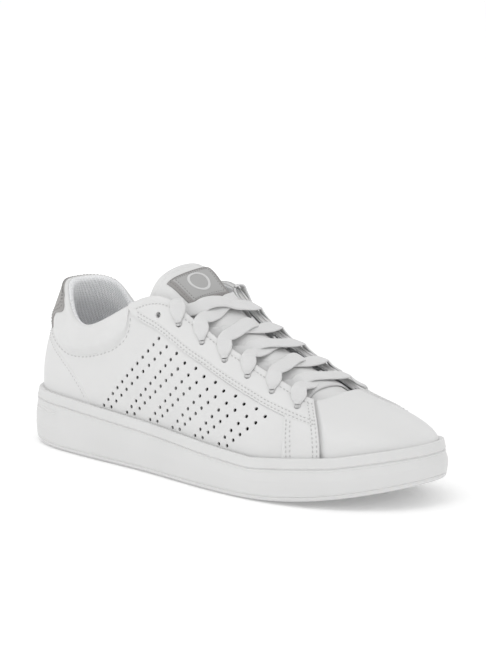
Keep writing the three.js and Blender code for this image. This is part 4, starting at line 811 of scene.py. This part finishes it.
R_ = []; side_span = lambda x: rimz(x) - GROOVE_DROP - .9 - groundz(x)
add = lambda sx, sy, ins, z: R_.append(ringp(sx, sy, ins, z))
fl = lambda x: groundz(x) + OUTSOLE_T
add(.985, .97, 3.3, fl); add(.985, .97, 3.3, lambda x: rimz(x) - .5); add(.985, .97, 2.6, lambda x: rimz(x) - .1); add(.985, .97, 2.0, lambda x: rimz(x) + .06); add(.985, .97, 1.2, lambda x: rimz(x) + .08); add(.985, .97, .5, lambda x: rimz(x) - .12); add(.985, .97, .18, lambda x: rimz(x) - .5)
add(.985, .97, .03, lambda x: rimz(x) - 1.1); add(.987, .975, 0, lambda x: rimz(x) - 2.6); add(.990, .980, 0, lambda x: rimz(x) - 4.6)
for a, i_ in ((.9, .0), (.62, .08), (.38, .28), (.15, .62), (-.15, .8), (-.45, .62), (-.68, .28), (-.95, .06), (-1.3, .0)):
    add(.992, .984, i_ - .02, lambda x, a=a: rimz(x) - GROOVE_DROP + a)
for i in range(1, 27):   # side wall with fine ribs round the heel
    f_ = i / 27; bow = .9 * math.sin(math.pi * f_ ** 1.1)
    def ins(x, f_=f_, bow=bow):
        m = step(-x, 104, 112) * step(f_, .06, .10) * (1 - step(f_, .66, .70)); return .35 - bow * .5 + m * .42 * (.5 + .5 * math.cos(2 * math.pi * f_ * 13))
    R_.append(ringp(.9925 + .0075 * min(f_ * 2.2, 1), .985 + .015 * min(f_ * 2.2, 1), ins, lambda x, f_=f_: rimz(x) - GROOVE_DROP - 1.3 - (side_span(x) - 4.6) * f_))
for a, i_ in ((3.6, .25), (3.1, .5), (2.85, .8), (2.6, .55), (2.0, .5), (1.3, .8), (.7, 1.25), (.3, 1.9), (.08, 2.7), (.0, 3.8)):
    add(.999, .998, i_, lambda x, a=a: groundz(x) + a)
NRG = len(R_); V = np.concatenate(R_); F = [grid_faces(NRG, NS_)]
j = NS_ - 1; i = np.arange(NRG - 1); F.append(np.stack([i * NS_ + j, (i + 1) * NS_ + j, (i + 1) * NS_, i * NS_], -1)); F = [tuple(x) for x in np.concatenate(F)]


def cap(ring_base, ring_pts, zfun, m, flip):
    """Fills a ring with rows running across the shoe."""
    global V
    n = NS_; verts, faces = [], []; idx = np.zeros((n // 2 + 1, m + 1), int); base = len(V)
    for i in range(1, n // 2):
        a, b = ring_pts[i], ring_pts[n - i]
        for q in range(m + 1):
            if q == 0: idx[i, q] = ring_base + i
            elif q == m: idx[i, q] = ring_base + n - i
            else: t = q / m; t = t - .0 * math.sin(2 * math.pi * t); p = a + (b - a) * t; verts.append([p[0], p[1], zfun(p[0], p[1], min(q, m - q))]); idx[i, q] = base + len(verts) - 1
    for i in range(1, n // 2 - 1):
        for q in range(m): faces.append((idx[i, q], idx[i + 1, q], idx[i + 1, q + 1], idx[i, q + 1]))
    faces.append(tuple([ring_base] + [idx[1, q] for q in range(m + 1)])); faces.append(tuple([ring_base + n // 2] + [idx[n // 2 - 1, q] for q in reversed(range(m + 1))]))
    V = np.concatenate([V, np.array(verts)]) if verts else V; return [tuple(reversed(x)) for x in faces] if flip else faces


def tread(x, y, edge):
    """Moulded tread: herringbone channels, a ringed turning disc under the ball inside a plain band, and a shank with
    shallow cross grooves.
    """
    z = groundz(x)
    if edge < 3: return z
    r = math.hypot(x - 62, y - 2); zig = abs(((y + 200) % 11.0) / 5.5 - 1) * 4.2; p = ((x + zig + 400) % 6.0) / 6.0; h = step(p, .0, .16) * (1 - step(p, .50, .66)); h = 1 - float(h)
    if r < 24: p = (r % 5.2) / 5.2; h = 1 - float(step(p, 0, .16) * (1 - step(p, .55, .72)))
    if r >= 24 and r < 26.5: h = 1.0
    if -58 < x < -8 and abs(y - 0) < 30: h = .55 + .45 * (1 - float(step(abs(((x + 400) % 9.0) / 4.5 - 1), .25, .45))) if abs(y) < 20 else h * .9
    return z + 1.5 * h * min((edge - 2) / 2, 1)


bot = (NRG - 1) * NS_; F += cap(bot, R_[-1], tread, 72, False); F += cap(0, R_[0], lambda x, y, e: groundz(x) + OUTSOLE_T, 8, True)
sole = mk("cup_sole_rubber", V, fix_out(V, F), M_RUBBER, node="cupsole"); sharp(sole, 38)
SI = RIM_WALL + 4.9 + .8 + .5; boardz = lambda x: rimz(x) - 1 - SKIRT - .3; R_ = []
KS_ = np.arange(400) * NR / 400; NS_ = 400
for ins, dz in ((SI - .8, .3), (SI - 1.2, 2.5), (SI - 1.3, 4.6), (SI - 1.0, 5.4), (SI - .3, 5.7), (SI + .8, 5.2), (SI + 2.4, 4.7)):
    R_.append(ringp(.985, .97, ins, lambda x, dz=dz: boardz(x) + dz))
NRG = len(R_); V = np.concatenate(R_); i = np.arange(NRG - 1); F = [tuple(x) for x in np.concatenate([grid_faces(NRG, NS_), np.stack([i * NS_ + NS_ - 1, (i + 1) * NS_ + NS_ - 1, (i + 1) * NS_, i * NS_], -1)])]
F += cap((NRG - 1) * NS_, R_[-1], lambda x, y, e: boardz(x) + 4.3 + .4 * math.exp(-e / 3), 40, False); F += cap(0, R_[0], lambda x, y, e: boardz(x) + .3, 4, True)
uv = np.column_stack([V[:, 0], V[:, 1]]); sock = mk("sockliner_cloth", V, fix_out(V, F), M_SOCK, node="sockliner", uv=uv); sharp(sock, 60)

# ------------------------------------------------------------------ CAD nodes that stay: procedural finishes
for name, m in (("midsole_foam", M_FOAM), ("insole_board", M_BOARD), ("heel_counter", M_BOARD), ("toe_puff", M_BOARD), ("aglet_lateral", M_EMBLEM), ("aglet_medial", M_EMBLEM)):
    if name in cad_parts:
        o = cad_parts[name]; o.data.materials.clear(); o.data.materials.append(m)

# ------------------------------------------------------------------ floor, light, camera
me = bpy.data.meshes.new("floor"); Rf = 6.0; me.from_pydata([(-Rf, -Rf, -.0006), (Rf, -Rf, -.0006), (Rf, Rf, -.0006), (-Rf, Rf, -.0006)], [], [(0, 1, 2, 3)]); me.update()
floor = bpy.data.objects.new("floor", me); bpy.context.scene.collection.objects.link(floor)
# painted light: the floor glows, and its glow is weaker within about 0.8 m of the middle, so the floor round the shoe
# is painted darker (painted shade)
m, nt, b = mat("floor_glow_with_painted_shade", (.93, .93, .93), .9, .1); n = bump(nt, noise(nt, coords(nt), 30, 2), .0005, .05); nt.links.new(n, b.inputs["Normal"]); me.materials.append(m); b.inputs["Emission Color"].default_value = (1, 1, 1, 1); sp = nt.nodes.new("ShaderNodeSeparateXYZ"); nt.links.new(coords(nt), sp.inputs[0])
rad = mathn(nt, "SQRT", mathn(nt, "ADD", mathn(nt, "MULTIPLY", sp.outputs[0], sp.outputs[0]), mathn(nt, "MULTIPLY", sp.outputs[1], sp.outputs[1])))
floor_glow_falloff = nt.nodes.new("ShaderNodeMapRange"); floor_glow_falloff.interpolation_type = "SMOOTHSTEP"; nt.links.new(rad, floor_glow_falloff.inputs["Value"])
for key, val in (("From Min", .16), ("From Max", .8), ("To Min", .15), ("To Max", .32)): floor_glow_falloff.inputs[key].default_value = val
nt.links.new(floor_glow_falloff.outputs["Result"], b.inputs["Emission Strength"])
w = bpy.data.worlds.new("studio"); bpy.context.scene.world = w; w.use_nodes = True; bg = w.node_tree.nodes["Background"]; bg.inputs["Color"].default_value = (1, 1, 1, 1); bg.inputs["Strength"].default_value = .74


def area(name, loc, target, size, power, size_y=None):
    l = bpy.data.lights.new(name, "AREA"); l.energy = power; l.size = size
    if size_y: l.shape = "RECTANGLE"; l.size_y = size_y
    o = bpy.data.objects.new(name, l); o.location = loc; o.rotation_euler = (Vector(target) - Vector(loc)).to_track_quat("-Z", "Y").to_euler(); bpy.context.scene.collection.objects.link(o); return o


area("key", (.1, -.6, 1.5), (0, 0, .05), 1.2, 6.0, 1.0)
area("left", (-1.2, -1.0, .8), (0, 0, .05), .9, 2.2)
area("right", (1.5, -.4, .7), (0, 0, .05), .7, 1.2)
area("back", (.2, 1.4, .9), (0, 0, .05), 1.4, 2.0)

cam = bpy.data.cameras.new("camera"); co = bpy.data.objects.new("camera", cam); bpy.context.scene.collection.objects.link(co)
az, el, dist = math.radians(41.5), math.radians(12), 1.5; back = Vector((math.sin(az) * math.cos(el), -math.cos(az) * math.cos(el), math.sin(el)))
tgt = Vector((SHIFT[0] / 1000, SHIFT[1] / 1000, .045)); co.location = tgt + back * dist; co.rotation_mode = "QUATERNION"; co.rotation_quaternion = (-back).to_track_quat("-Z", "Y")
cam.sensor_width = 36; cam.lens = 2509.44 / 649 * 36; cam.shift_x = (243 - 229.62) / 649; cam.shift_y = (393.42 - 324.5) / 649; cam.clip_start = .05; cam.clip_end = 60
bpy.context.scene.camera = co
vs_ = bpy.context.scene.view_settings; vs_.view_transform = "Standard"; vs_.look = "None"; vs_.exposure = 0; vs_.gamma = 1

bpy.context.view_layer.update()
